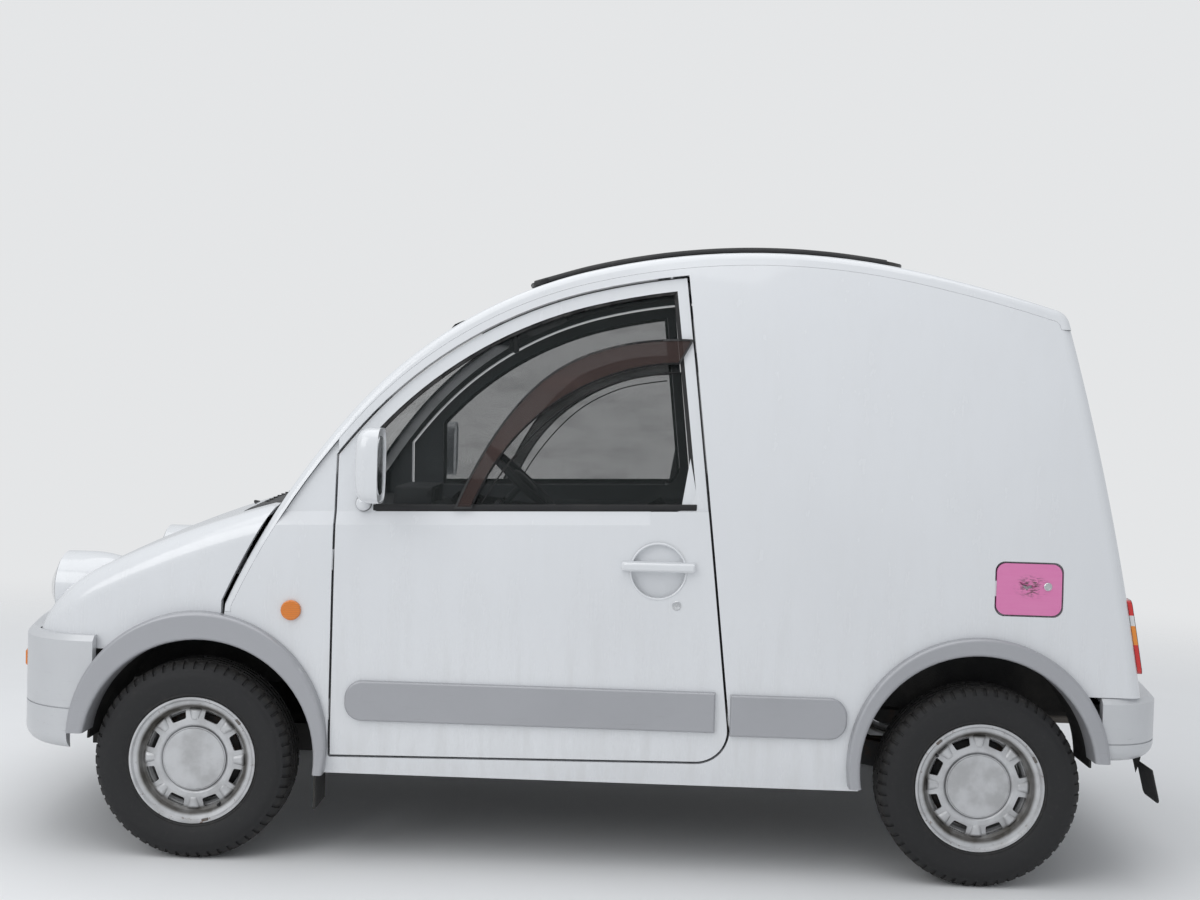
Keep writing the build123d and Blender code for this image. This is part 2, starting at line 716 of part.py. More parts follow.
# Fuel flap, its skin torn and pushed in
flap_wall = 8.0
flap_corner = 27.0
tear_x = rear_axle_x + 122.0
tear_z = 868.0
with BuildPart() as fuel_flap:
    with BuildSketch(Plane.XZ.offset(900.0)) as flap_side:
        with Locations((sum(flap_span_x) / 2, sum(flap_span_z) / 2)):
            RectangleRounded(flap_span_x[1] - flap_span_x[0] - 4.0,
                             flap_span_z[1] - flap_span_z[0] - 4.0, flap_corner)
    extrude(amount=-400.0)
    add(flank_layer(0.0, flap_wall), mode=Mode.INTERSECT)
    with BuildSketch(Plane.XZ.offset(900.0)):
        with BuildLine():
            Polyline((tear_x - 38.0, tear_z + 14.0), (tear_x - 4.0, tear_z + 5.0),
                     (tear_x + 14.0, tear_z + 24.0), (tear_x + 8.0, tear_z - 10.0),
                     (tear_x - 14.0, tear_z - 12.0), close=True)
        make_face()
    extrude(amount=-400.0, mode=Mode.SUBTRACT)

fuel_flap.part.label = "fuel_flap"
export_step(fuel_flap.part, "parts/fuel_flap.step")

# Nose skin
nose_solid = nose_form(0.0)
with BuildPart() as nose_outer:
    add(nose_solid)
    shoulder = [edge for edge in nose_outer.edges()
                if abs((edge @ 0.5).Y) > 700.0 and (edge @ 0.5).Z > 780.0 and edge.length > 20.0
                and (edge @ 0.5).X < nose_start_x - 2.0]
    fillet(shoulder, radius=nose_edge_round)
nose_inner = nose_form(nose_wall)
arch_keep_out = arch_prism(-fender_gap)


def hood_prism(grow):
    """Plan outline of the hood, made larger all round by grow."""
    with BuildPart() as prism:
        with BuildSketch(Plane.XY.offset(hood_lip_z - grow)) as plan:
            with BuildLine():
                Polyline((hood_rear_x + grow, -hood_half_rear - grow),
                         (hood_rear_x + grow, hood_half_rear + grow),
                         (hood_front_x - 60.0, hood_half_front + grow),
                         (hood_front_x - 60.0, -hood_half_front - grow), close=True)
            make_face()
            fillet(plan.vertices().group_by(Axis.X)[-1], radius=hood_corner + grow)
        extrude(amount=600.0)
    return prism.part


def pod_form(grow):
    """Left headlamp pod, made larger all round by grow."""
    radius = pod_radius + grow
    with BuildPart() as pod_part:
        with BuildSketch(Plane.XZ.offset(pod_y)):
            with BuildLine():
                Polyline((pod_front_x + pod_straight, pod_z), (pod_front_x - grow, pod_z),
                         (pod_front_x - grow, pod_z + radius), (pod_front_x + pod_straight, pod_z + radius))
                EllipticalCenterArc((pod_front_x + pod_straight, pod_z), pod_tail + grow, radius,
                                    start_angle=0, arc_size=90)
                Line((pod_front_x + pod_straight + pod_tail + grow, pod_z),
                     (pod_front_x + pod_straight, pod_z))
            make_face()
        revolve(axis=Axis((0, -pod_y, pod_z), (1, 0, 0)))
    return pod_part.part


# Hood between the pods, hinged at the cowl
pod_keep_out = pod_form(lid_gap)
with BuildPart() as hood:
    add(nose_outer.part)
    add(nose_form(hood_wall), mode=Mode.SUBTRACT)
    add(hood_prism(0.0), mode=Mode.INTERSECT)
    add(pod_keep_out, mode=Mode.SUBTRACT)
    add(mirrored(pod_keep_out), mode=Mode.SUBTRACT)

hood.part.label = "hood"
export_step(hood.part, "parts/hood.step")

# Fenders with their headlamp pods
cowl_front_x = hood_rear_x + lid_gap
grille_box = span_box((nose_x, front_axle_x - 350.0), (-grille_half_width - 0.5, grille_half_width + 0.5),
                      (0.0, hood_lip_z - lid_gap + 0.5))
pod = pod_form(0.0)
with BuildPart() as pod_bore:
    with Locations(Location((pod_front_x, -pod_y, pod_z), (0, 90, 0))):
        Cylinder(lamp_radius + 1.0, 2 * lamp_depth)
with BuildPart() as fender_left:
    add(nose_outer.part)
    add(nose_inner, mode=Mode.SUBTRACT)
    add(span_box((-1800.0, 0.0), (-900.0, 0.0), (500.0, 1200.0)), mode=Mode.INTERSECT)
    add(hood_prism(lid_gap), mode=Mode.SUBTRACT)
    add(grille_box, mode=Mode.SUBTRACT)
    add(span_box((cowl_front_x - 10.0, 0.0), (-cowl_half_width - 0.5, 0.0), (800.0, 1200.0)),
        mode=Mode.SUBTRACT)
    add(pod)
    add(pod_bore.part, mode=Mode.SUBTRACT)
    add(arch_keep_out, mode=Mode.SUBTRACT)
    add(crowned_arch(-fender_gap), mode=Mode.SUBTRACT)
    add(front_hole, mode=Mode.SUBTRACT)
    add(span_box((-1900.0, 0.0), (-900.0, 0.0), (0.0, 600.0)), mode=Mode.SUBTRACT)

fender_right = mirrored(fender_left.part)
fender_left.part.label = "fender_left"
export_step(fender_left.part, "parts/fender_left.step")
fender_right.label = "fender_right"
export_step(fender_right, "parts/fender_right.step")

# Grille panel between the pods
with BuildPart() as grille_panel:
    add(nose_outer.part)
    add(nose_inner, mode=Mode.SUBTRACT)
    add(span_box((nose_x, front_axle_x - 350.0), (-grille_half_width, grille_half_width),
                 (grille_low_z, hood_lip_z - lid_gap)), mode=Mode.INTERSECT)
    with BuildSketch(Plane.YZ.offset(nose_x)):
        with Locations((0.0, (grille_low_z + hood_lip_z) / 2)):
            with GridLocations(0.0, 26.0, 1, grille_slots):
                SlotOverall(560.0, 12.0)
    extrude(amount=400.0, mode=Mode.SUBTRACT)

grille_panel.part.label = "grille_panel"
export_step(grille_panel.part, "parts/grille_panel.step")

# Headlamps: domed lens in a bezel, one in each pod
with BuildPart() as headlamp_left:
    with BuildSketch(Plane.XZ.offset(pod_y)):
        with BuildLine():
            Polyline((pod_front_x + lamp_depth, pod_z), (pod_front_x + lamp_depth, pod_z + lamp_radius),
                     (pod_front_x, pod_z + lamp_radius))
            TangentArc((pod_front_x - lamp_dome, pod_z), (pod_front_x, pod_z + lamp_radius), tangent=(0, 1))
            Line((pod_front_x - lamp_dome, pod_z), (pod_front_x + lamp_depth, pod_z))
        make_face()
    revolve(axis=Axis((0, -pod_y, pod_z), (1, 0, 0)))
with BuildPart() as headlamps:
    add(headlamp_left.part)
    mirror(about=Plane.XZ)

headlamps.part.label = "headlamps"
export_step(headlamps.part, "parts/headlamps.step")

# Black cowl under the screen, in one piece with the bulkhead
with BuildPart() as cowl_skin:
    add(nose_outer.part)
    add(nose_inner, mode=Mode.SUBTRACT)
    add(span_box((cowl_front_x, 0.0), (-cowl_half_width, cowl_half_width), (800.0, 1200.0)),
        mode=Mode.INTERSECT)
    add(crowned_arch(-1.0), mode=Mode.SUBTRACT)
with BuildPart() as cowl_bulkhead:
    add(cowl_skin.part)
    add(span_box((bulkhead_x, bulkhead_x + bulkhead_wall), (-620.0, 620.0), (700.0, 985.0)))
    add(span_box((bulkhead_x, bulkhead_x + bulkhead_wall), (-424.0, 424.0),
                 (cabin_floor_z + seat_gap, 720.0)))
    add(span_box((bulkhead_x, bulkhead_x + bulkhead_wall), (-floor_edge, floor_edge), (660.0, 720.0)))
    add(span_box((bulkhead_x, bulkhead_x + 90.0), (-620.0, 620.0), (950.0, 964.0)))
    for y in (-480.0, 480.0):
        add(span_box((hood_rear_x + hinge_clear, cowl_front_x + 6.0), (y - 30.0, y + 30.0), (991.0, 1003.0)))

cowl_bulkhead.part.label = "cowl_bulkhead"
export_step(cowl_bulkhead.part, "parts/cowl_bulkhead.step")


def bumper_plan(inset, corner_x, corner, turn, tip_x, root_x, way):
    """Half-width plan outline of a bumper, mirrored; way is -1 at the front and 1 at the rear."""
    with BuildSketch() as plan:
        with BuildLine():
            side = Line((root_x, bumper_half_width - inset), (corner_x, bumper_half_width - inset))
            bend = JernArc(start=side @ 1, tangent=side % 1, radius=corner - inset, arc_size=-way * turn)
            bow = TangentArc(bend @ 1, (tip_x - way * inset, 0.0), tangent=bend % 1)
            Line(side @ 0, (root_x, 0.0))
            mirror(about=Plane.XZ)
        make_face()
    return plan.sketch


def bumper_shell(z_span, corner_x, corner, turn, tip_x, root_x, way):
    """Hollow bumper skin with a top flange and a groove round it."""
    outline = bumper_plan(0.0, corner_x, corner, turn, tip_x, root_x, way)
    hollow = bumper_plan(bumper_wall, corner_x, corner, turn, tip_x, root_x - way * 1.0, way)
    groove = bumper_plan(bumper_groove, corner_x, corner, turn, tip_x, root_x, way)
    with BuildPart() as shell:
        extrude(outline.moved(Location((0, 0, z_span[0]))), amount=z_span[1] - z_span[0], dir=(0, 0, 1))
        outer_edges = [edge for edge in shell.edges().group_by(Axis.Z)[0]
                       if abs((edge @ 0.5).X - root_x) > 1.0]
        fillet(outer_edges, radius=bumper_tuck)
        top_edges = [edge for edge in shell.edges().group_by(Axis.Z)[-1]
                     if abs((edge @ 0.5).X - root_x) > 1.0]
        chamfer(top_edges, length=bumper_chamfer)
        extrude(hollow.moved(Location((0, 0, z_span[0] - 1.0))), amount=z_span[1] - z_span[0] - 11.0,
                dir=(0, 0, 1), mode=Mode.SUBTRACT)
    with BuildPart() as ring:
        extrude(outline.moved(Location((0, 0, bumper_groove_z - 2.0))), amount=4.0, dir=(0, 0, 1))
        extrude(groove.moved(Location((0, 0, bumper_groove_z - 2.0))), amount=4.0, dir=(0, 0, 1),
                mode=Mode.SUBTRACT)
    with BuildPart() as grooved:
        add(shell.part)
        add(ring.part, mode=Mode.SUBTRACT)
    return grooved.part


plate_z = 500.0
plate_spacing = 210.0
plate_hole_radius = 3.25
with BuildPart() as front_bumper:
    add(bumper_shell(front_bumper_z, front_bumper_corner_x, front_bumper_corner, front_bumper_turn,
                     nose_x, front_axle_x - 285.0, -1))
    add(nose_form(-0.5), mode=Mode.SUBTRACT)
    add(side_disc(front_arch[3], front_arch[4], front_arch[5] + 0.5, -900.0, 900.0), mode=Mode.SUBTRACT)
    with BuildSketch(Plane.YZ.offset(nose_x - 10.0)):
        with Locations((0.0, plate_z)):
            with GridLocations(plate_spacing, 0.0, 2, 1):
                Circle(plate_hole_radius)
    extrude(amount=80.0, mode=Mode.SUBTRACT)

front_bumper.part.label = "front_bumper"
export_step(front_bumper.part, "parts/front_bumper.step")

with BuildPart() as rear_bumper:
    add(bumper_shell(rear_bumper_z, rear_bumper_corner_x, rear_bumper_corner, rear_bumper_turn,
                     tail_x, rear_axle_x + 330.0, 1))
    add(side_disc(rear_arch[3], rear_arch[4], rear_arch[5] + 0.5, -900.0, 900.0), mode=Mode.SUBTRACT)

rear_bumper.part.label = "rear_bumper"
export_step(rear_bumper.part, "parts/rear_bumper.step")

# Wheel arch mouldings with a lip into the arch, and the strips behind the doors
flare_sets = ((front_arch, front_flare_feet), (rear_arch, rear_flare_feet))
with BuildPart() as body_keep_out:
    add(crowned_arch(-seat_gap))
    add(flank_prism(-seat_gap), mode=Mode.INTERSECT)
with BuildPart() as flares_left:
    for arch, feet in flare_sets:
        with BuildSketch(Plane.XZ.offset(body_half_width - 34.0)):
            with Locations((arch[3], arch[4])):
                Circle(arch[5])
            with Locations((arch[0], arch[1])):
                Circle(arch[2], mode=Mode.SUBTRACT)
            with Locations((arch[3] - 300.0, feet[0] - 300.0)):
                Rectangle(600.0, 600.0, mode=Mode.SUBTRACT)
            with Locations((arch[3] + 300.0, feet[1] - 300.0)):
                Rectangle(600.0, 600.0, mode=Mode.SUBTRACT)
        extrude(amount=flare_face - body_half_width + 34.0)
    rims = [edge for edge in flares_left.faces().sort_by(Axis.Y)[0:2].edges()
            if edge.length > 300.0]
    fillet(rims, radius=flare_round)
with BuildPart() as lips_left:
    for arch, feet in flare_sets:
        with BuildSketch(Plane.XZ.offset(floor_edge - 4.0)):
            with Locations((arch[0], arch[1])):
                Circle(arch[2] + lip_wall)
                Circle(arch[2], mode=Mode.SUBTRACT)
            with Locations((arch[0] - 300.0, feet[0] - 300.0)):
                Rectangle(600.0, 600.0, mode=Mode.SUBTRACT)
            with Locations((arch[0] + 300.0, feet[1] - 300.0)):
                Rectangle(600.0, 600.0, mode=Mode.SUBTRACT)
        extrude(amount=body_half_width + 10.0 - floor_edge)
with BuildPart() as rear_strip_left:
    with BuildSketch(Plane.XZ.offset(body_half_width + seat_gap)) as strip_view:
        with Locations(((rear_strip[0] + rear_strip[1]) / 2, (rear_strip[2] + rear_strip[3]) / 2)):
            Rectangle(rear_strip[1] - rear_strip[0], rear_strip[3] - rear_strip[2])
        fillet(strip_view.vertices().group_by(Axis.X)[-1], radius=50.0)
    extrude(amount=strip_proud)
    fillet(rear_strip_left.faces().sort_by(Axis.Y)[0].edges(), radius=7.0)
    add(side_disc(rear_arch[3], rear_arch[4], rear_arch[5] + 0.3, -900.0, -600.0), mode=Mode.SUBTRACT)
with BuildPart() as mouldings_left:
    add(flares_left.part)
    add(body_keep_out.part, mode=Mode.SUBTRACT)
    add(nose_form(-seat_gap), mode=Mode.SUBTRACT)
    add(lips_left.part)
    add(rear_strip_left.part)
with BuildPart() as side_mouldings:
    add(mouldings_left.part)
    mirror(about=Plane.XZ)

side_mouldings.part.label = "side_mouldings"
export_step(side_mouldings.part, "parts/side_mouldings.step")

# Wheel liners, front mudflaps, and the flaps that hang inside the rear bumper
front_flap_x = front_axle_x + 360.0
rear_flap_x = rear_axle_x + 485.0
rear_flap_lean = 36.0
rear_flap_foot_z = 235.0
rear_flap_knee_z = 379.0
with BuildPart() as rear_flap:
    add(side_prism(((rear_flap_x, rear_flap_knee_z), (rear_flap_x + rear_flap_lean, rear_flap_foot_z),
                    (rear_flap_x + rear_flap_lean + 5.0, rear_flap_foot_z),
                    (rear_flap_x + 5.0, rear_flap_knee_z), (rear_flap_x + 5.0, 440.0),
                    (rear_flap_x, 440.0)), -690.0, -565.0))
    add(rear_bumper.part, mode=Mode.SUBTRACT)
    extrude(bumper_plan(bumper_wall + seat_gap, rear_bumper_corner_x, rear_bumper_corner, rear_bumper_turn,
                        tail_x, rear_axle_x + 200.0, 1).moved(Location((0, 0, 200.0))),
            amount=300.0, dir=(0, 0, 1), mode=Mode.INTERSECT)
with BuildPart() as liners_left:
    for arch, inner_y, low_z in ((front_arch, front_liner_inner, 330.0),
                                 (rear_arch, rear_liner_inner, 345.0)):
        outer_r = arch[2] + lip_wall + 1.5 + liner_wall
        with BuildSketch(Plane.XZ.offset(inner_y)):
            with Locations((arch[0], arch[1])):
                Circle(outer_r)
                Circle(outer_r - liner_wall, mode=Mode.SUBTRACT)
            with Locations((arch[0], low_z - 500.0)):
                Rectangle(2000.0, 1000.0, mode=Mode.SUBTRACT)
        extrude(amount=floor_edge + 0.5 - inner_y)
        with BuildSketch(Plane.XZ.offset(inner_y)):
            with Locations((arch[0], arch[1])):
                Circle(outer_r)
            with Locations((arch[0], low_z + 130.0 - 500.0)):
                Rectangle(2000.0, 1000.0, mode=Mode.SUBTRACT)
        extrude(amount=liner_wall)
    add(flank_prism(side_wall + seat_gap), mode=Mode.INTERSECT)
    add(span_box((front_flap_x, front_flap_x + 5.0), (-785.0, -645.0),
                 (165.0, front_flare_feet[1] - seat_gap)))
with BuildPart() as wheel_liners:
    add(liners_left.part)
    add(rear_flap.part)
    mirror(about=Plane.XZ)

wheel_liners.part.label = "wheel_liners"
export_step(wheel_liners.part, "parts/wheel_liners.step")

# Floor: cabin pan, step up to the load floor, rails and tail cross panel
with BuildPart() as floor_pan:
    add(span_box((bulkhead_x, floor_step_x), (-floor_edge, floor_edge),
                 (cabin_floor_z - floor_wall, cabin_floor_z)))
    add(span_box((floor_step_x - 20.0, floor_step_x), (-floor_edge, floor_edge),
                 (cabin_floor_z - 5.0, load_floor_z)))
    add(span_box((floor_step_x - 20.0, floor_rear_x), (-floor_edge, floor_edge),
                 (load_floor_z - floor_wall, load_floor_z)))
    add(span_box((floor_rear_x - 20.0, floor_rear_x), (-700.0, 700.0), (400.0, load_floor_z - 10.0)))
    add(flank_prism(side_wall + seat_gap), mode=Mode.INTERSECT)
    for side in (-1, 1):
        add(span_box((door_front_x - 8.0, door_corner_x + 8.0), (side * 735.0 - 35.0, side * 735.0 + 35.0),
                     (door_bottom_front_z - 10.0, 600.0)), mode=Mode.SUBTRACT)
        add(span_box((front_axle_x - 420.0, floor_step_x + 60.0),
                     (side * rail_y - rail_width / 2, side * rail_y + rail_width / 2),
                     (240.0, cabin_floor_z - floor_wall + 5.0)))
        add(span_box((floor_step_x, floor_rear_x - 10.0),
                     (side * rail_y - rail_width / 2, side * rail_y + rail_width / 2),
                     (430.0, load_floor_z - floor_wall + 5.0)))
        add(span_box((floor_step_x, floor_step_x + 60.0),
                     (side * rail_y - rail_width / 2, side * rail_y + rail_width / 2),
                     (240.0, load_floor_z - floor_wall + 5.0)))
        front_tub = side_disc(front_arch[0], front_arch[1], front_arch[2] + lip_wall + 2.0 + liner_wall,
                              side * 665.0 - 238.0, side * 665.0 + 238.0)
        rear_tub = side_disc(rear_arch[0], rear_arch[1], rear_arch[2] + lip_wall + 2.0 + liner_wall,
                             side * 665.0 - 107.0, side * 665.0 + 107.0)
        add(front_tub, mode=Mode.SUBTRACT)
        add(rear_tub, mode=Mode.SUBTRACT)

floor_pan.part.label = "floor_pan"
export_step(floor_pan.part, "parts/floor_pan.step")

# Tail lamps on the tail corners
with BuildPart() as tail_lamps:
    for side in (-1, 1):
        with BuildSketch(Plane.YZ.offset(rear_axle_x + 300.0)):
            with Locations((side * 705.0, 729.0)):
                RectangleRounded(78.0, 210.0, 16.0)
        extrude(amount=300.0)
    add(crowned_arch(-12.0), mode=Mode.INTERSECT)
    add(crowned_arch(-seat_gap), mode=Mode.SUBTRACT)

tail_lamps.part.label = "tail_lamps"
export_step(tail_lamps.part, "parts/tail_lamps.step")

# Orange side repeaters
repeater = (front_axle_x + 281.0, 733.0, 29.0, 10.0)
with BuildPart() as side_repeaters:
    with BuildSketch(Plane.XZ.offset(body_half_width + seat_gap)):
        with Locations((repeater[0], repeater[1])):
            Circle(repeater[2])
    extrude(amount=repeater[3])
    fillet(side_repeaters.edges().group_by(Axis.Y)[0], radius=5.0)
    mirror(about=Plane.XZ)

side_repeaters.part.label = "side_repeaters"
export_step(side_repeaters.part, "parts/side_repeaters.step")

# Dashboard with its column tube
dash_x = (front_axle_x + 225.0, front_axle_x + 585.0)
wheel_x = front_axle_x + 855.0
wheel_y = 350.0
wheel_z = 1060.0
column_tilt = 48.0
column_radius = 26.0
column_head = 110.0
column_axis = (math.cos(math.radians(column_tilt)), 0.0, math.sin(math.radians(column_tilt)))
column_length = (wheel_z - cabin_floor_z - 30.0) / column_axis[2]
column_reach = (column_head + column_length) / 2
with BuildPart() as dashboard:
    with BuildSketch(Plane.XZ.offset(-690.0)):
        with BuildLine():
            Polyline((dash_x[0], 940.0), (dash_x[0] + 60.0, 985.0), (dash_x[1] - 50.0, 975.0),
                     (dash_x[1], 925.0), (dash_x[1] - 20.0, 790.0), (dash_x[1] - 130.0, 700.0),
                     (dash_x[0] + 40.0, 740.0), close=True)
        make_face()
    extrude(amount=1380.0)
    with Locations(Location((wheel_x - column_reach * column_axis[0], wheel_y,
                             wheel_z - column_reach * column_axis[2]), (0, 90.0 - column_tilt, 0))):
        Cylinder(column_radius, column_length - column_head)
    add(span_box((dash_x[1] - 130.0, dash_x[1] - 80.0), (wheel_y - 22.0, wheel_y + 22.0), (630.0, 760.0)))
    for y in (-300.0, wheel_y):
        add(span_box((bulkhead_x + bulkhead_wall + seat_gap, dash_x[0] + 60.0), (y - 30.0, y + 30.0),
                     (820.0, 880.0)))

dashboard.part.label = "dashboard"
export_step(dashboard.part, "parts/dashboard.step")

# Steering wheel
grip_reach = 174.0
grip_round = 13.0
with BuildPart() as steering_wheel:
    with BuildSketch(Plane.XZ) as grip:
        with Locations((grip_reach, 0.0)):
            Circle(grip_round)
    revolve(axis=Axis.Z)
    with Locations((0.0, 0.0, -12.0)):
        Cylinder(48.0, 34.0)
    with PolarLocations(grip_reach / 2, 3, start_angle=90.0):
        with Locations((0.0, 0.0, -6.0)):
            Box(grip_reach, 26.0, 10.0)
    with Locations((0.0, 0.0, -(20.0 + column_head - seat_gap) / 2)):
        Cylinder(12.0, column_head - seat_gap - 20.0)
steering_wheel_placed = steering_wheel.part.moved(
    Location((wheel_x, wheel_y, wheel_z), (0, 90.0 - column_tilt, 0)))

steering_wheel_placed.label = "steering_wheel"
export_step(steering_wheel_placed, "parts/steering_wheel.step")

# Seats on their frames
seat_front_x = rear_axle_x - 1280.0
with BuildPart() as seats:
    for y in (-350.0, 350.0):
        with BuildSketch(Plane.XZ.offset(-y - 230.0)) as seat_side:
            with BuildLine():
                Polyline((seat_front_x, 590.0), (seat_front_x + 20.0, 690.0), (seat_front_x + 400.0, 660.0),
                         (seat_front_x + 480.0, 1130.0), (seat_front_x + 560.0, 1110.0),
                         (seat_front_x + 500.0, 560.0), close=True)
            make_face()
            fillet(seat_side.vertices(), radius=22.0)
        extrude(amount=460.0)
        with Locations((seat_front_x + 250.0, y, (cabin_floor_z + 590.0) / 2)):
            Box(360.0, 380.0, 590.0 - cabin_floor_z - seat_gap)
        with Locations((seat_front_x + 545.0, y, 1240.0)):
            Box(70.0, 250.0, 160.0)
        with Locations((seat_front_x + 530.0, y, 1140.0)):
            Box(12.0, 160.0, 80.0)

seats.part.label = "seats"
export_step(seats.part, "parts/seats.step")

# Engine as one block at its real place
engine_half = rail_y - rail_width / 2 - seat_gap
engine_rear_x = front_axle_x - 60.0
with BuildPart() as engine_block:
    add(span_box((front_axle_x - 400.0, engine_rear_x), (-engine_half, engine_half), (260.0, 700.0)))
    chamfer(engine_block.edges().group_by(Axis.Z)[-1], length=40.0)

engine_block.part.label = "engine_block"
export_step(engine_block.part, "parts/engine_block.step")

# Front suspension: crossmember, lower and upper arms
pin_low_z = 205.0
pin_high_z = 372.0
tower_y = 413.0
with BuildPart() as front_suspension:
    add(span_box((front_axle_x - 45.0, front_axle_x + 45.0), (-410.0, 410.0), (180.0, 240.0 - seat_gap)))
    for side in (-1, 1):
        with BuildSketch(Plane.XY.offset(pin_low_z - 12.0)):
            with BuildLine():
                Polyline((front_axle_x - 90.0, side * 360.0), (front_axle_x - 24.0, side * kingpin_y),
                         (front_axle_x + 24.0, side * kingpin_y), (front_axle_x + 90.0, side * 360.0),
                         close=True)
            make_face()
            with Locations((front_axle_x, side * kingpin_y)):
                Circle(24.0)
        extrude(amount=20.0)
        with Locations((front_axle_x, side * (tower_y + kingpin_y) / 2, pin_high_z + 9.0)):
            Box(36.0, kingpin_y - tower_y, 18.0)
        add(span_box((front_axle_x - 40.0, front_axle_x + 40.0),
                     (side * tower_y - 12.5, side * tower_y + 12.5), (190.0, pin_high_z + 40.0)))
        with Locations((front_axle_x, side * kingpin_y, pin_high_z + 9.0)):
            Cylinder(22.0, 18.0)

front_suspension.part.label = "front_suspension"
export_step(front_suspension.part, "parts/front_suspension.step")

# Steering knuckles between the arms, with their spindles
hub_face = track / 2 + 17.0 - seat_gap
with BuildPart() as knuckle_left:
    with Locations((front_axle_x, -kingpin_y, (pin_low_z + 8.0 + pin_high_z) / 2)):
        Cylinder(20.0, pin_high_z - pin_low_z - 8.0 - 2 * seat_gap)
    with Locations(Location((front_axle_x, -kingpin_y - 22.0, axle_z), (90, 0, 0))):
        Cylinder(46.0, 44.0)
    with Locations(Location((front_axle_x, -(kingpin_y + hub_face) / 2, axle_z), (90, 0, 0))):
        Cylinder(30.0, hub_face - kingpin_y)

knuckle_right = mirrored(knuckle_left.part)
knuckle_left.part.label = "knuckle_left"
export_step(knuckle_left.part, "parts/knuckle_left.step")
knuckle_right.label = "knuckle_right"
export_step(knuckle_right, "parts/knuckle_right.step")

# Rear axle: trailing arms on a cross tube with stub spindles
pivot_x = rear_axle_x - 330.0
arm_y = 522.5
arm_wall = 45.0
with BuildPart() as rear_axle:
    with Locations(Location((pivot_x, 0.0, 330.0), (90, 0, 0))):
        Cylinder(34.0, 1020.0)
    for side in (-1, 1):
        add(side_prism(((pivot_x - 30.0, 300.0), (pivot_x, 372.0), (rear_axle_x + 30.0, 325.0),
                        (rear_axle_x + 30.0, 250.0)),
                       side * arm_y - arm_wall / 2, side * arm_y + arm_wall / 2))
        with Locations(Location((rear_axle_x, side * (arm_y + hub_face) / 2, axle_z), (90, 0, 0))):
            Cylinder(30.0, hub_face - arm_y)
        add(span_box((pivot_x - 30.0, pivot_x + 30.0), (side * rail_y - 25.0, side * rail_y + 25.0),
                     (330.0, 430.0 - seat_gap)))

rear_axle.part.label = "rear_axle"
export_step(rear_axle.part, "parts/rear_axle.step")

# Fuel tank, and the exhaust pipe back to its silencer
pipe_y = -150.0
pipe_z = 275.0
pipe_radius = 18.0
silencer_x = rear_axle_x + 290.0
silencer_z = 345.0
silencer_radius = 70.0
tail_pipe_x = rear_axle_x + 520.0
with BuildPart() as exhaust_and_tank:
    with Locations(Location(((engine_rear_x + seat_gap + silencer_x) / 2, pipe_y, pipe_z), (0, 90, 0))):
        Cylinder(pipe_radius, silencer_x - engine_rear_x - seat_gap)
    with Locations(Location((silencer_x, pipe_y + 120.0, silencer_z), (90, 0, 0))):
        Cylinder(silencer_radius, 440.0)
    with Locations(Location(((silencer_x + tail_pipe_x) / 2, pipe_y + 280.0, silencer_z - 30.0),
                            (0, 90, 0))):
        Cylinder(pipe_radius, tail_pipe_x - silencer_x)
    for y in (pipe_y, pipe_y + 240.0):
        add(span_box((silencer_x - 15.0, silencer_x + 15.0), (y - 12.0, y + 12.0),
                     (silencer_z, load_floor_z - floor_wall - seat_gap)))
    add(span_box((rear_axle_x - 700.0, rear_axle_x - 400.0), (-310.0, 320.0),
                 (pipe_z + 5.0, load_floor_z - floor_wall - seat_gap)))
    fillet(exhaust_and_tank.edges().filter_by(Axis.Y).group_by(Axis.Z)[0], radius=12.0)

exhaust_and_tank.part.label = "exhaust_and_tank"
export_step(exhaust_and_tank.part, "parts/exhaust_and_tank.step")

# Wheels: pressed rim with slots, and tyre
rim_section = ((151.0, -66.0), (rim_radius, -66.0), (rim_radius, -60.0), (bead_radius + 2.0, -54.0),
               (bead_radius, -20.0), (140.0, -10.0), (140.0, 20.0), (bead_radius, 34.0),
               (bead_radius + 2.0, 54.0), (rim_radius, 60.0), (rim_radius, 66.0), (177.0, 67.0),
               (172.0, 60.0), (157.0, 55.0), (152.0, 42.0), (146.0, 36.0), (112.0, 44.0), (100.0, 44.0),
               (90.0, 34.0), (80.0, 22.0), (0.0, 22.0), (0.0, 17.0), (82.0, 17.0), (98.0, 37.0),
               (112.0, 38.0), (143.0, 30.0), (134.0, 18.0), (132.0, -14.0), (153.0, -26.0), (156.0, -60.0))
with BuildPart() as rim:
    with BuildSketch(Plane.XY):
        with BuildLine():
            Polyline(*[(r, -y) for r, y in rim_section], close=True)
        make_face()
    revolve(axis=Axis.Y)
    with BuildSketch(Plane.XZ.offset(26.0)) as windows:
        with PolarLocations(window_ring_radius, rim_slots, start_angle=22.5):
            Trapezoid(window_width, window_height, 76.0, rotation=90.0)
        fillet(windows.vertices(), radius=5.0)
    extrude(amount=30.0, mode=Mode.SUBTRACT)
    with BuildSketch(Plane.XZ.offset(18.0)):
        Circle(cap_radius)
    extrude(amount=26.0)
    fillet(rim.faces().filter_by(Plane.XZ).sort_by(Axis.Y)[0].edges(), radius=8.0)

tyre_section = ((bead_radius + 2.6, -52.8), (rim_radius + 0.6, -58.8), (210.0, -74.0),
                (240.0, -tyre_width / 2), (266.0, -72.0), (281.0, -60.0), (tyre_radius, -48.0),
                (tyre_radius, 48.0), (281.0, 60.0), (266.0, 72.0), (240.0, tyre_width / 2),
                (210.0, 74.0), (rim_radius + 0.6, 58.8), (bead_radius + 2.6, 52.8))
with BuildPart() as tyre:
    with BuildSketch(Plane.XY):
        with BuildLine():
            Polyline(*[(r, -y) for r, y in tyre_section], close=True)
        make_face()
    revolve(axis=Axis.Y)

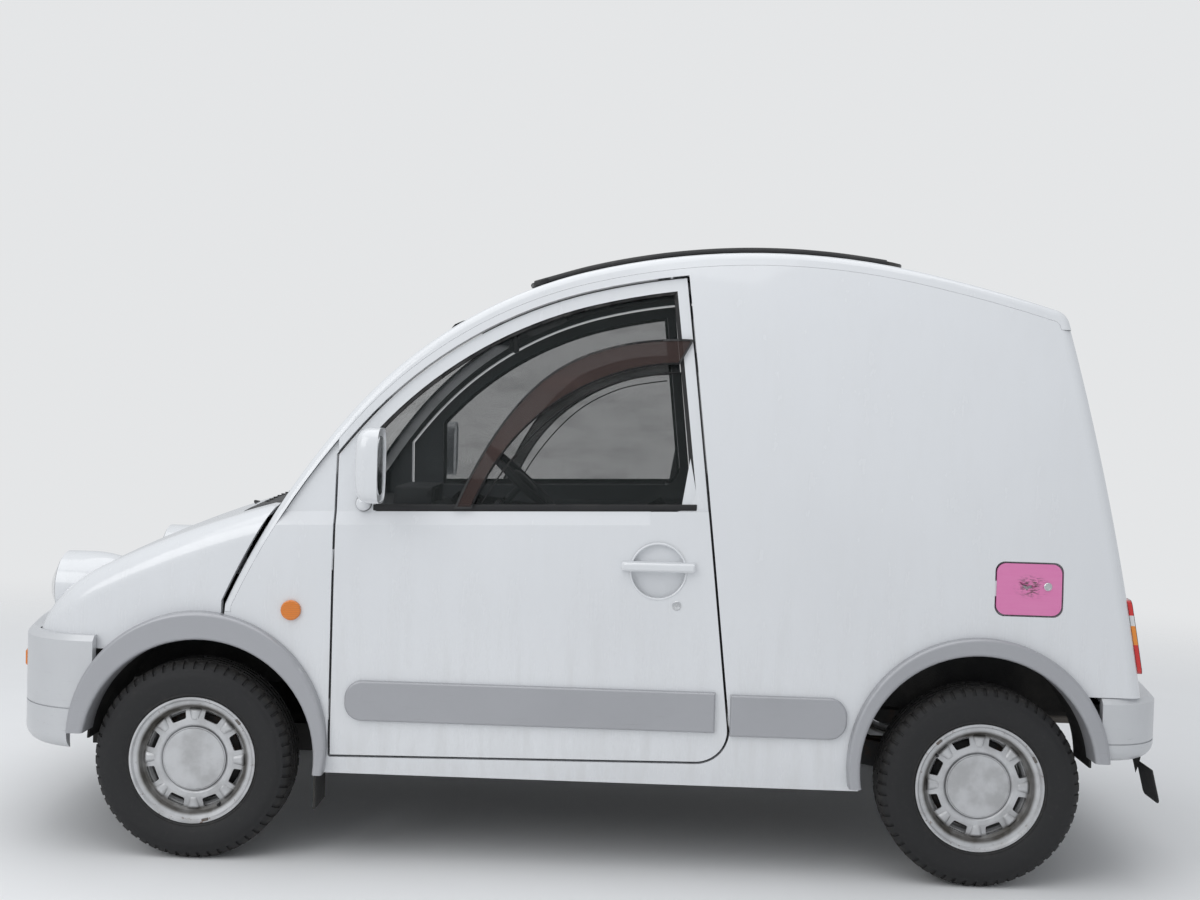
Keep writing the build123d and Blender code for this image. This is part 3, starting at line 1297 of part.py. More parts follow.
wheel_places = (("front_left", front_axle_x, -track / 2, 0.0),
                ("front_right", front_axle_x, track / 2, 180.0),
                ("rear_left", rear_axle_x, -track / 2, 0.0),
                ("rear_right", rear_axle_x, track / 2, 180.0))
for name, x, y, turn in wheel_places:
    for kind, piece in (("rim", rim.part), ("tyre", tyre.part)):
        placed = piece.moved(Location((x, y, axle_z), (0, 0, turn)))
        placed.label = f"{kind}_{name}"
        export_step(placed, f"parts/{kind}_{name}.step")
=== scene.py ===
"""Looks of the small panel van: finishes, seals, lamps, wheels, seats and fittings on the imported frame."""

import sys

import json
import logging
import math
from dataclasses import dataclass
from enum import Enum
from typing import Any, Callable, Sequence

import bmesh
import bpy
from mathutils import Matrix, Vector

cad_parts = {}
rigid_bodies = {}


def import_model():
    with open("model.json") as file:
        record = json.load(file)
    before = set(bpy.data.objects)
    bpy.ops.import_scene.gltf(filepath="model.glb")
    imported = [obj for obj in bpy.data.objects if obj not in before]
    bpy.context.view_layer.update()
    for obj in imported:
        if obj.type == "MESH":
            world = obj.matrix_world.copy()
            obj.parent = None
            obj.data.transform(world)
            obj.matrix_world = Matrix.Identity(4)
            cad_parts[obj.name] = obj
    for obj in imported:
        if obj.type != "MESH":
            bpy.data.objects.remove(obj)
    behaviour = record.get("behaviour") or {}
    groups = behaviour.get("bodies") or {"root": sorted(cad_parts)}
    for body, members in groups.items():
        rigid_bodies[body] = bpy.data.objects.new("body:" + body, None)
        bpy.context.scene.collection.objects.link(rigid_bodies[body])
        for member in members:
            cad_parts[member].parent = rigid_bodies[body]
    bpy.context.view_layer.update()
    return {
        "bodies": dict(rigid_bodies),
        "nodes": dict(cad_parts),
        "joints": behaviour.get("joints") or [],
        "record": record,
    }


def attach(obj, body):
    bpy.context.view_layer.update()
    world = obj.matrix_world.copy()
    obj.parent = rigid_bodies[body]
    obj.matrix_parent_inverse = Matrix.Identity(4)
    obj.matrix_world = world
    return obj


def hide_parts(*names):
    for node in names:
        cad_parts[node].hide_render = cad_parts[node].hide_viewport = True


Colour = tuple[float, float, float]
Point = tuple[float, float, float]
Outline = tuple[tuple[float, float], ...]
Test = Callable[[Vector, Vector], bool]

log = logging.getLogger("van")

FRONT_AXLE_X = -1.105
REAR_AXLE_X = 1.155
AXLE_Z = 0.286
WHEEL_Y = 0.69
BELT_HALF = 0.77
FLANK_RADIUS = 3.62
FLANK_START_Z = 0.75
BELT_Z = 1.018
BELT_SLOPE = 0.03
BELT_FRONT_X = -0.704
BOLT_Y = 0.105

DOORS = ("door_left", "door_right")
BODY = ("body", "body")
DOWN = (0.0, 0.0, -1.0)
UP = (0.0, 0.0, 1.0)
FORWARD = (-1.0, 0.0, 0.0)
REARWARD = (1.0, 0.0, 0.0)
OVER_ROOF = 2.3
OVER_HOOD = 1.4
BEHIND = 2.5
AHEAD = -2.2
CLOTH_FRAMES = 20
SHARP_EDGE = 35.0
MOSTLY = 0.9


class Axis(Enum):
    """Direction that a turned piece's axis points in, with the turn that lays a circle across it."""

    X = (0, (0.0, math.pi / 2, 0.0))
    Y = (1, (math.pi / 2, 0.0, 0.0))
    Z = (2, (0.0, 0.0, 0.0))


class Lining(Enum):
    """Which way a painted panel's inner face looks, where the cabin lining shows instead of paint."""

    NONE = (0.0, 0.0, 0.0)
    LEFT = (0.0, 1.0, 0.0)
    RIGHT = (0.0, -1.0, 0.0)
    ROOF = (0.25, 0.0, -1.0)
    LID = (-1.0, 0.0, -0.8)


def shade(colour: Colour, share: float) -> Colour:
    """Colour made darker or lighter by a share."""
    return tuple(c * share for c in colour)


def flank_half(z: float) -> float:
    """Half-width of the body at a height.

    Args:
        z: height above the ground.

    Returns:
        The half-width in metres.
    """
    rise = max(z - FLANK_START_Z, 0.0)
    return BELT_HALF - FLANK_RADIUS + math.sqrt(FLANK_RADIUS**2 - rise**2)


def belt_height(x: float) -> float:
    """Height of the door's belt line at a station."""
    return BELT_Z + BELT_SLOPE * (x - BELT_FRONT_X)


def facing(way: str, least: float = MOSTLY) -> Test:
    """Test for faces that look along an axis.

    Args:
        way: the axis with its sign, such as +x.
        least: how far the normal has to reach along it.

    Returns:
        The test.
    """
    index = "xyz".index(way[1])
    sign = -1.0 if way[0] == "-" else 1.0
    return lambda _, normal: normal[index] * sign > least


def running(way: str) -> Test:
    """Test for edges that run along an axis, either way."""
    index = "xyz".index(way)
    return lambda _, heading: abs(heading[index]) > MOSTLY


def touch(node: str, origin: Point, heading: Point) -> Vector:
    """Find where a straight line meets a node of the frame.

    Args:
        node: name of the node.
        origin: where the line starts.
        heading: direction of the line.

    Returns:
        The first point on the node.
    """
    hit, place, _, _ = bpy.data.objects[node].ray_cast(Vector(origin), Vector(heading).normalized())
    if not hit:
        raise ValueError(f"the line from {origin} misses {node}")
    return place


class Signal:
    """A number that varies over a surface, which Python arithmetic can work on."""

    def __init__(self, mix: "NodeWeb", socket: bpy.types.NodeSocket) -> None:
        """Keep the node tree and the socket that carries the number."""
        self.mix = mix
        self.socket = socket

    def maths(self, operation: str, *terms: "Signal | float") -> "Signal":
        """Add one Math node.

        Args:
            operation: the Math node's operation.
            terms: its inputs in order.

        Returns:
            The node's result.
        """
        made = self.mix.node("ShaderNodeMath", {"operation": operation}, dict(enumerate(terms)))
        return Signal(self.mix, made.outputs[0])

    def __add__(self, other: "Signal | float") -> "Signal":
        """Sum."""
        return self.maths("ADD", self, other)

    def __radd__(self, other: float) -> "Signal":
        """Sum with a number on the left."""
        return self.maths("ADD", other, self)

    def __sub__(self, other: "Signal | float") -> "Signal":
        """Difference."""
        return self.maths("SUBTRACT", self, other)

    def __rsub__(self, other: float) -> "Signal":
        """Difference from a number on the left."""
        return self.maths("SUBTRACT", other, self)

    def __mul__(self, other: "Signal | float") -> "Signal":
        """Product."""
        return self.maths("MULTIPLY", self, other)

    def __rmul__(self, other: float) -> "Signal":
        """Product with a number on the left."""
        return self.maths("MULTIPLY", other, self)

    def __truediv__(self, other: "Signal | float") -> "Signal":
        """Quotient."""
        return self.maths("DIVIDE", self, other)

    def __pow__(self, other: float) -> "Signal":
        """Power."""
        return self.maths("POWER", self, other)

    def wave(self) -> "Signal":
        """Sine."""
        return self.maths("SINE", self)

    def root(self) -> "Signal":
        """Square root."""
        return self.maths("SQRT", self)

    def between(self, low: float, high: float) -> "Signal":
        """Smooth step that is 0 at low and 1 at high."""
        made = self.mix.node(
            "ShaderNodeMapRange",
            {"interpolation_type": "SMOOTHSTEP"},
            {"Value": self, "From Min": low, "From Max": high},
        )
        return Signal(self.mix, made.outputs[0])


class NodeWeb:
    """A shader's nodes while they are put together."""

    def __init__(self, owner: "bpy.types.Material | bpy.types.World") -> None:
        """Empty the node tree of a material or a world."""
        owner.use_nodes = True
        self.owner = owner
        self.tree = owner.node_tree
        self.tree.nodes.clear()

    def node(
        self, kind: str, settings: dict[str, Any] | None = None, inputs: dict[Any, Any] | None = None
    ) -> bpy.types.Node:
        """Add a node, with its settings before its inputs.

        Args:
            kind: the node's type.
            settings: its properties, or the stops of a colour ramp.
            inputs: values or links by socket name or number.

        Returns:
            The new node.
        """
        made = self.tree.nodes.new(kind)
        for key, value in (settings or {}).items():
            if key == "stops":
                for stop in made.color_ramp.elements[1:]:
                    made.color_ramp.elements.remove(stop)
                for index, (place, colour) in enumerate(value):
                    stops = made.color_ramp.elements
                    stop = stops[0] if index == 0 else stops.new(place)
                    stop.position = place
                    stop.color = (*colour, 1.0)
            else:
                setattr(made, key, value)
        for key, value in (inputs or {}).items():
            if isinstance(value, Signal):
                value = value.socket
            if isinstance(value, bpy.types.NodeSocket):
                self.tree.links.new(value, made.inputs[key])
            elif isinstance(value, tuple) and made.inputs[key].type == "RGBA":
                made.inputs[key].default_value = (*value[:3], 1.0)
            else:
                made.inputs[key].default_value = value
        return made


class Mixture(NodeWeb):
    """One procedural material while its nodes are put together."""

    def __init__(self, name: str) -> None:
        """Start an empty material under a name."""
        super().__init__(bpy.data.materials.new(name))
        self.coordinates = self.node("ShaderNodeTexCoord")
        self.place = self.coordinates.outputs["Object"]

    def stretched(self, scale: Point) -> bpy.types.NodeSocket:
        """Object coordinates stretched along the axes."""
        return self.node("ShaderNodeMapping", None, {"Vector": self.place, "Scale": scale}).outputs[0]

    def along(self) -> tuple[Signal, Signal, Signal]:
        """Object coordinates as three numbers."""
        split = self.node("ShaderNodeSeparateXYZ", None, {0: self.place})
        return tuple(Signal(self, socket) for socket in split.outputs)

    def facing(self, heading: Point) -> Signal:
        """How far a face looks in a direction fixed to the piece."""
        made = self.node(
            "ShaderNodeVectorMath",
            {"operation": "DOT_PRODUCT"},
            {0: self.coordinates.outputs["Normal"], 1: heading},
        )
        return Signal(self, made.outputs["Value"])

    def noise(self, scale: float, detail: float = 2.0, where: Any = None, rough: float = 0.5) -> Signal:
        """Cloudy noise.

        Args:
            scale: how many clouds a metre.
            detail: octaves.
            where: coordinates, or the piece's own.
            rough: share of the finer octaves.

        Returns:
            The noise, about 0 to 1.
        """
        made = self.node(
            "ShaderNodeTexNoise",
            None,
            {"Vector": where or self.place, "Scale": scale, "Detail": detail, "Roughness": rough},
        )
        return Signal(self, made.outputs[0])

    def cells(self, scale: float) -> Signal:
        """Distance to the nearest of scattered points."""
        made = self.node("ShaderNodeTexVoronoi", None, {"Vector": self.place, "Scale": scale})
        return Signal(self, made.outputs["Distance"])

    def blend(self, factor: "Signal | float", first: Any, second: Any) -> bpy.types.NodeSocket:
        """Colour between two colours."""
        made = self.node(
            "ShaderNodeMix", {"data_type": "RGBA", "clamp_factor": True}, {0: factor, 6: first, 7: second}
        )
        return made.outputs[2]

    def bump(self, height: Signal, depth: float, strength: float = 1.0) -> bpy.types.NodeSocket:
        """Normal raised by a height.

        Args:
            height: the relief, 0 to 1.
            depth: its depth in metres.
            strength: share of it that is used.

        Returns:
            The normal socket.
        """
        inputs = {"Strength": strength, "Distance": depth, "Height": height}
        return self.node("ShaderNodeBump", None, inputs).outputs[0]

    def surface(self, **sockets: Any) -> bpy.types.Material:
        """Close the material with its shader.

        Args:
            sockets: the shader's inputs, underscores for spaces.

        Returns:
            The finished material.
        """
        inputs = {key.replace("_", " "): value for key, value in sockets.items()}
        shader = self.node("ShaderNodeBsdfPrincipled", None, inputs)
        self.node("ShaderNodeOutputMaterial", None, {0: shader.outputs[0]})
        return self.owner


@dataclass(frozen=True)
class PearlPaint:
    """Pearl white body paint with a clear coat, road film low down and a lined inner face."""

    name: str
    colour: Colour = (0.77, 0.785, 0.805)
    film: Colour = (0.52, 0.51, 0.49)
    lining: Lining = Lining.NONE
    lining_colour: Colour = (0.06, 0.064, 0.07)

    def make(self) -> bpy.types.Material:
        """Build the material."""
        mix = Mixture(self.name)
        _, _, height = mix.along()
        pearl = mix.noise(1.1, 3.0)
        fleck = mix.noise(1400.0, 1.0)
        streak = mix.noise(9.0, 5.0, mix.stretched((3.0, 3.0, 0.35)), 0.65)
        low = 1 - height.between(0.24, 0.95)
        film = (low * 0.55 + 0.12) * streak.between(0.38, 0.78)
        tone = mix.blend(pearl.between(0.3, 0.7), self.colour, shade(self.colour, 0.955))
        tone = mix.blend(fleck.between(0.62, 0.8) * 0.22, tone, (0.93, 0.94, 0.97))
        tone = mix.blend(film * 0.42, tone, self.film)
        rough = 0.22 + 0.3 * film + 0.05 * mix.noise(30.0, 2.0)
        coat = 1 - 0.7 * film
        relief = mix.noise(210.0, 2.0) * 0.6 + mix.noise(2.2, 1.0) * 0.4
        if self.lining is not Lining.NONE:
            inside = mix.facing(self.lining.value).between(0.35, 0.6)
            pile = mix.noise(900.0, 3.0)
            cloth = mix.blend(pile, self.lining_colour, shade(self.lining_colour, 1.9))
            tone = mix.blend(inside, tone, cloth)
            rough = rough + inside * 0.6
            coat = coat * (1 - inside)
        return mix.surface(
            Base_Color=tone,
            Roughness=rough,
            Coat_Weight=coat,
            Coat_Roughness=0.06,
            Normal=mix.bump(relief, 0.0004, 0.25),
        )


@dataclass(frozen=True)
class SilverFinish:
    """Metallic silver on moulded plastic, with fine flake and scuffs low down."""

    name: str
    colour: Colour
    metal: float = 0.55
    roughness: float = 0.36

    def make(self) -> bpy.types.Material:
        """Build the material."""
        mix = Mixture(self.name)
        _, _, height = mix.along()
        flake = mix.cells(2300.0)
        cloud = mix.noise(4.0, 4.0)
        scuff = mix.noise(38.0, 5.0, mix.stretched((0.25, 1.0, 5.0)), 0.7).between(0.6, 0.74)
        low = 1 - height.between(0.2, 0.6)
        tone = mix.blend(flake.between(0.1, 0.5), shade(self.colour, 1.12), self.colour)
        tone = mix.blend(cloud.between(0.35, 0.75) * 0.3, tone, shade(self.colour, 0.86))
        tone = mix.blend(scuff * (0.1 + low * 0.4), tone, (0.2, 0.19, 0.175))
        rough = self.roughness + 0.12 * cloud + 0.25 * scuff * low
        return mix.surface(
            Base_Color=tone,
            Metallic=self.metal,
            Roughness=rough,
            Coat_Weight=0.25,
            Normal=mix.bump(mix.noise(650.0, 2.0), 0.0002, 0.3),
        )


@dataclass(frozen=True)
class MouldedPlastic:
    """Grained plastic with settled dust."""

    name: str
    colour: Colour
    roughness: float = 0.55
    grain: float = 520.0
    relief: float = 0.0005
    dust: float = 0.25
    dust_colour: Colour = (0.17, 0.16, 0.145)

    def make(self) -> bpy.types.Material:
        """Build the material."""
        mix = Mixture(self.name)
        leather = mix.cells(self.grain)
        cloud = mix.noise(5.5, 5.0, rough=0.62)
        up = mix.facing((0.0, 0.0, 1.0)).between(0.0, 1.0)
        settled = cloud.between(0.42, 0.72) * (0.4 + 0.6 * up) * self.dust
        tone = mix.blend(mix.noise(2.5, 2.0), self.colour, shade(self.colour, 1.25))
        tone = mix.blend(settled, tone, self.dust_colour)
        rough = self.roughness + 0.2 * settled + 0.08 * leather
        return mix.surface(
            Base_Color=tone, Roughness=rough, Normal=mix.bump(leather, self.relief, 0.45)
        )


@dataclass(frozen=True)
class TyreRubber:
    """Black tyre rubber, greyed by road dust on the tread and in the shoulder."""

    name: str
    colour: Colour = (0.01, 0.01, 0.011)
    dust_colour: Colour = (0.06, 0.055, 0.049)
    axle_x: float = 0.0

    def make(self) -> bpy.types.Material:
        """Build the material."""
        mix = Mixture(self.name)
        x, _, z = mix.along()
        reach = ((x - self.axle_x) ** 2.0 + (z - AXLE_Z) ** 2.0).root()
        rings = (reach * 1500.0).wave()
        speck = mix.noise(60.0, 6.0, rough=0.7)
        tread = reach.between(0.268, 0.285)
        dust = tread * 0.5 + speck.between(0.5, 0.75) * 0.2 + (1 - reach.between(0.18, 0.205)) * 0.25
        tone = mix.blend(dust * speck.between(0.25, 0.7), self.colour, self.dust_colour)
        relief = rings * 0.12 + mix.noise(420.0, 3.0) * 0.5
        return mix.surface(
            Base_Color=tone,
            Roughness=0.62 + 0.25 * dust,
            Normal=mix.bump(relief, 0.0005, 0.5),
        )


@dataclass(frozen=True)
class WheelSteel:
    """Silver-painted wheel steel with clouds of dirt, painted shade in the trough inside its lip, and rust in
    spots.
    """

    name: str
    axle_x: float
    colour: Colour = (0.58, 0.585, 0.595)
    rust: Colour = (0.115, 0.048, 0.018)
    # Colour of the dirt and of the painted shade in the trough.
    grime_and_shade: Colour = (0.085, 0.078, 0.068)

    def make(self) -> bpy.types.Material:
        """Build the material."""
        mix = Mixture(self.name)
        x, _, z = mix.along()
        reach = ((x - self.axle_x) ** 2.0 + (z - AXLE_Z) ** 2.0).root()
        speck = mix.noise(75.0, 6.0, rough=0.68)
        cloud = mix.noise(16.0, 4.0)
        lip = reach.between(0.15, 0.178)
        # Painted shade: the trough inside the lip, about 0.14 to 0.16 m from the axle, is darkened as if in
        # shadow.
        trough_shade = reach.between(0.136, 0.148) * (1 - reach.between(0.156, 0.166))
        rust = speck.between(0.6, 0.7) * (lip * 0.8 + 0.08)
        # Dirt clouds plus the painted trough shade, both mixed towards the grime colour.
        darkening = cloud.between(0.35, 0.7) * 0.28 + trough_shade * 0.75
        tone = mix.blend(mix.cells(1900.0).between(0.1, 0.5), shade(self.colour, 1.15), self.colour)
        tone = mix.blend(darkening, tone, self.grime_and_shade)
        tone = mix.blend(rust, tone, self.rust)
        return mix.surface(
            Base_Color=tone,
            Metallic=0.5 * (1 - rust),
            Roughness=0.38 + 0.35 * darkening + 0.3 * rust,
            Coat_Weight=0.2,
            Normal=mix.bump(speck, 0.0006, 0.25),
        )


@dataclass(frozen=True)
class Pane:
    """Tinted glass or smoked plastic with wiped dust."""

    name: str
    colour: Colour
    alpha: float
    roughness: float = 0.04
    haze: float = 0.1

    def make(self) -> bpy.types.Material:
        """Build the material."""
        mix = Mixture(self.name)
        wipe = mix.noise(7.0, 5.0, mix.stretched((0.6, 1.0, 1.8)), 0.6).between(0.45, 0.8)
        tone = mix.blend(wipe * 0.35, self.colour, tuple(min(c * 2.2 + 0.03, 1.0) for c in self.colour))
        return mix.surface(
            Base_Color=tone,
            Roughness=self.roughness + 0.1 * wipe,
            Alpha=self.alpha + self.haze * wipe,
            Normal=mix.bump(mix.noise(3.0, 1.0), 0.0004, 0.12),
        )


@dataclass(frozen=True)
class Lens:
    """Moulded lamp lens with ribs, in one to three colour bands from the bottom up, with painted shade in
    stripes along the ribs and a faint painted glow.
    """

    name: str
    bands: tuple[tuple[float, Colour], ...]
    rib_pitch: float = 0.01
    rib_axis: int = 1
    low: float = 0.0
    high: float = 1.0

    def make(self) -> bpy.types.Material:
        """Build the material."""
        mix = Mixture(self.name)
        places = mix.along()
        level = (places[2] - self.low) / (self.high - self.low)
        ramp = mix.node("ShaderNodeValToRGB", {"stops": self.bands}, {0: level})
        ramp.color_ramp.interpolation = "CONSTANT"
        ribs = (places[self.rib_axis] * (2 * math.pi / self.rib_pitch)).wave() * 0.5 + 0.5
        dim = mix.noise(40.0, 4.0).between(0.4, 0.8)
        # Painted shade: the colour darkens in stripes along the ribs.
        tone = mix.blend(ribs * 0.3, ramp.outputs[0], mix.blend(0.45, ramp.outputs[0], (0.0, 0.0, 0.0)))
        return mix.surface(
            Base_Color=tone,
            Roughness=0.1 + 0.1 * dim,
            Coat_Weight=0.8,
            # Painted glow: a faint emission in the lens colour.
            Emission_Color=ramp.outputs[0],
            Emission_Strength=0.04,
            Normal=mix.bump(ribs, 0.0012, 0.45),
        )


@dataclass(frozen=True)
class Cloth:
    """Woven cloth with a sheen, its threads crossing in two of the piece's directions."""

    name: str
    colour: Colour
    fleck: Colour
    pitch: float = 0.0022
    across: tuple[int, int] = (0, 1)
    dust: float = 0.2
    depth: float = 0.0006

    def make(self) -> bpy.types.Material:
        """Build the material."""
        mix = Mixture(self.name)
        places = mix.along()
        turn = 2 * math.pi / self.pitch
        warp = (places[self.across[0]] * turn).wave()
        weft = (places[self.across[1]] * turn).wave()
        weave = (warp * weft) * 0.5 + 0.5
        cloud = mix.noise(6.0, 5.0)
        fuzz = mix.noise(700.0, 3.0)
        tone = mix.blend(weave * 0.5 + fuzz * 0.3, self.colour, self.fleck)
        tone = mix.blend(cloud.between(0.45, 0.75) * self.dust, tone, (0.2, 0.185, 0.165))
        return mix.surface(
            Base_Color=tone,
            Roughness=0.82 + 0.12 * cloud,
            Sheen_Weight=0.35,
            Sheen_Roughness=0.45,
            Normal=mix.bump(weave * 0.7 + fuzz * 0.3, self.depth, 0.6),
        )


@dataclass(frozen=True)
class Steel:
    """Bare, cast or undercoated metal with rust and road dirt."""

    name: str
    colour: Colour
    metal: float = 0.8
    roughness: float = 0.45
    rust: float = 0.3
    rust_colour: Colour = (0.13, 0.055, 0.022)

    def make(self) -> bpy.types.Material:
        """Build the material."""
        mix = Mixture(self.name)
        patch = mix.noise(14.0, 6.0, rough=0.66)
        pit = mix.noise(260.0, 4.0)
        rust = patch.between(0.5, 0.68) * self.rust
        darkening = mix.noise(5.0, 4.0).between(0.4, 0.8) * 0.35
        tone = mix.blend(pit * 0.4, self.colour, shade(self.colour, 0.7))
        tone = mix.blend(darkening * (0.3 + self.rust), tone, (0.105, 0.096, 0.082))
        tone = mix.blend(rust, tone, self.rust_colour)
        return mix.surface(
            Base_Color=tone,
            Metallic=self.metal * (1 - rust),
            Roughness=self.roughness + 0.3 * rust + 0.1 * pit,
            Normal=mix.bump(pit, 0.0008, 0.3 + 0.3 * self.rust),
        )


@dataclass(frozen=True)
class PinkPaint:
    """Hot pink brushed paint on the fuel flap, scraped round its tear."""

    name: str
    tear: Point = (1.277, 0.0, 0.868)
    colour: Colour = (0.72, 0.19, 0.43)

    def make(self) -> bpy.types.Material:
        """Build the material."""
        mix = Mixture(self.name)
        x, _, z = mix.along()
        reach = (((x - self.tear[0]) * 0.7) ** 2.0 + (z - self.tear[2]) ** 2.0).root()
        near = 1 - reach.between(0.01, 0.042)
        scrape = mix.noise(90.0, 5.0, mix.stretched((0.6, 1.0, 2.2)), 0.7)
        brushed = mix.noise(40.0, 4.0, mix.stretched((0.4, 1.0, 4.0)))
        bare = near * scrape.between(0.46, 0.6)
        tone = mix.blend(brushed * 0.5, self.colour, (0.79, 0.3, 0.52))
        tone = mix.blend(mix.noise(5.0, 3.0).between(0.5, 0.8) * 0.3, tone, (0.6, 0.15, 0.36))
        tone = mix.blend(bare, tone, (0.1, 0.075, 0.075))
        return mix.surface(
            Base_Color=tone,
            Roughness=0.34 + 0.35 * bare + 0.12 * brushed,
            Coat_Weight=0.3 * (1 - bare),
            Normal=mix.bump(brushed * 0.5 + bare * 0.5, 0.0006, 0.4),
        )


def leave_edit_mode() -> None:
    """Return to object mode with nothing selected."""
    if bpy.context.mode != "OBJECT":
        bpy.ops.object.mode_set(mode="OBJECT")
    bpy.ops.object.select_all(action="DESELECT")


class Piece:
    """One piece of the van while it is modelled, from its primitive to its place on a body."""

    def __init__(self, shape: bpy.types.Object) -> None:
        """Take over a mesh object.

        Args:
            shape: the object to shape.
        """
        self.shape = shape

    @classmethod
    def _added(cls, name: str) -> "Piece":
        """Take the primitive that was just added, with its place in its mesh."""
        shape = bpy.context.object
        shape.name = name
        shape.data.name = name
        bpy.ops.object.transform_apply(location=True, rotation=True, scale=True)
        return cls(shape)

    @classmethod
    def block(cls, name: str, centre: Point, size: Point) -> "Piece":
        """Start from a block.

        Args:
            name: the piece's name.
            centre: its middle.
            size: its size along the axes.

        Returns:
            The piece.
        """
        leave_edit_mode()
        bpy.ops.mesh.primitive_cube_add(size=1.0, location=centre, scale=size)
        return cls._added(name)

    @classmethod
    def rod(cls, name: str, start: Point, end: Point, radius: float, sides: int = 16) -> "Piece":
        """Start from a rod between two points.

        Args:
            name: the piece's name.
            start: one end.
            end: the other end.
            radius: its radius.
            sides: how many faces go round it.

        Returns:
            The piece.
        """
        leave_edit_mode()
        line = Vector(end) - Vector(start)
        turn = line.to_track_quat("Z", "Y").to_euler()
        bpy.ops.mesh.primitive_cylinder_add(
            vertices=sides,
            radius=radius,
            depth=line.length,
            location=(Vector(start) + Vector(end)) / 2,
            rotation=turn,
        )
        return cls._added(name)

    @classmethod
    def turned(
        cls,
        name: str,
        centre: Point,
        axis: Axis,
        profile: Sequence[tuple[float, float]],
        sides: int = 48,
        shut: bool = False,
        capped: bool = False,
    ) -> "Piece":
        """Turn a profile round an axis, one extruded ring after another.

        Args:
            name: the piece's name.
            centre: the middle that the profile is measured from.
            axis: direction of the axis.
            profile: radius and distance along the axis of each ring.
            sides: how many faces go round it.
            shut: bridge the last ring to the first.
            capped: close the last ring with a face.

        Returns:
            The piece.
        """
        leave_edit_mode()
        index, turn = axis.value
        first_radius, first_along = profile[0]
        middle = list(centre)
        middle[index] += first_along
        bpy.ops.mesh.primitive_circle_add(
            vertices=sides, radius=first_radius, location=middle, rotation=turn
        )
        piece = cls._added(name)
        piece.edit()
        bpy.ops.mesh.select_mode(type="EDGE")
        bpy.ops.mesh.select_all(action="SELECT")
        radius, along = first_radius, first_along
        for next_radius, next_along in profile[1:]:
            step = [0.0, 0.0, 0.0]
            step[index] = next_along - along
            bpy.ops.mesh.extrude_region_move(TRANSFORM_OT_translate={"value": step})
            ratio = next_radius / radius
            factors = [ratio, ratio, ratio]
            factors[index] = 1.0
            bpy.ops.transform.resize(value=factors, center_override=centre)
            radius, along = next_radius, next_along
        if capped:
            bpy.ops.mesh.edge_face_add()
        if shut:
            piece.open_edges()
            bpy.ops.mesh.bridge_edge_loops()
        return piece.outward()

    @classmethod
    def grid(cls, name: str, centre: Point, size: tuple[float, float], cuts: tuple[int, int]) -> "Piece":
        """Start from a level grid of faces.

        Args:
            name: the piece's name.
            centre: its middle.
            size: its size along X and Y.
            cuts: how many faces lie along X and Y.

        Returns:
            The piece.
        """
        leave_edit_mode()
        bpy.ops.mesh.primitive_grid_add(
            x_subdivisions=cuts[0], y_subdivisions=cuts[1], size=1.0, location=centre
        )
        return cls._added(name).whole().scale((size[0], size[1], 1.0), centre)

    @classmethod
    def chain(cls, name: str, points: Sequence[Point], filled: bool = False) -> "Piece":
        """Draw a line of points by extruding one vertex.

        Args:
            name: the piece's name.
            points: the line's points in order.
            filled: close the line into a face.

        Returns:
            The piece.
        """
        leave_edit_mode()
        bpy.ops.mesh.primitive_plane_add(size=0.01, location=points[0])
        piece = cls._added(name).whole()
        bpy.ops.mesh.merge(type="CENTER")
        bpy.ops.mesh.select_mode(type="VERT")
        bpy.ops.mesh.select_all(action="SELECT")
        for before, after in zip(points, points[1:]):
            step = Vector(after) - Vector(before)
            bpy.ops.mesh.extrude_region_move(TRANSFORM_OT_translate={"value": step})
        if filled:
            piece.whole()
            bpy.ops.mesh.edge_face_add()
        return piece

    @classmethod
    def tube(cls, name: str, points: Sequence[Point], radius: float, sides: int = 3) -> "Piece":
        """Bend a round bar along a smooth line.

        Args:
            name: the piece's name.
            points: places that the line bends round.
            radius: the bar's radius.
            sides: how round the bar is.

        Returns:
            The piece.
        """
        cls.chain(name, points).picked()
        bpy.ops.object.convert(target="CURVE")
        line = bpy.context.object
        for spline in line.data.splines:
            spline.type = "NURBS"
            spline.order_u = 3
            spline.use_endpoint_u = True
            spline.resolution_u = 8
        line.data.bevel_depth = radius
        line.data.bevel_resolution = sides
        line.data.use_fill_caps = True
        bpy.ops.object.convert(target="MESH")
        made = bpy.context.object
        made.name = name
        made.data.name = name
        return cls(made).weld().outward()

    @classmethod
    def band(cls, name: str, node: str, heading: Point, width: float) -> "Piece":
        """Cut the band along the outline of a node's outer face, from a merged copy.

        Args:
            name: the piece's name.
            node: the node of the frame.
            heading: direction that the outer face looks in.
            width: the band's width.

        Returns:
            The piece.
        """
        leave_edit_mode()
        source = bpy.data.objects[node]
        shape = bpy.data.objects.new(name, source.data.copy())
        shape.data.name = name
        shape.data.materials.clear()
        bpy.context.scene.collection.objects.link(shape)
        piece = cls(shape).weld(0.00002)
        look = Vector(heading).normalized()
        piece.faces(lambda _, normal: normal.dot(look) < 0.3)
        bpy.ops.mesh.delete(type="FACE")
        piece.whole()
        bpy.ops.mesh.dissolve_limited(angle_limit=0.002)
        piece.whole()
        bpy.ops.mesh.inset(thickness=width, use_boundary=True, use_even_offset=True)
        bpy.ops.mesh.delete(type="FACE")
        return piece.whole()

    def edit(self) -> "Piece":
        """Open the piece in edit mode."""
        if bpy.context.mode == "EDIT_MESH" and bpy.context.object is self.shape:
            return self
        self.picked()
        bpy.ops.object.mode_set(mode="EDIT")
        return self

    def picked(self) -> "Piece":
        """Select the piece alone in object mode and make it active."""
        leave_edit_mode()
        self.shape.select_set(True)
        bpy.context.view_layer.objects.active = self.shape
        return self

    def whole(self) -> "Piece":
        """Select the whole piece."""
        self.edit()
        bpy.ops.mesh.select_all(action="SELECT")
        return self

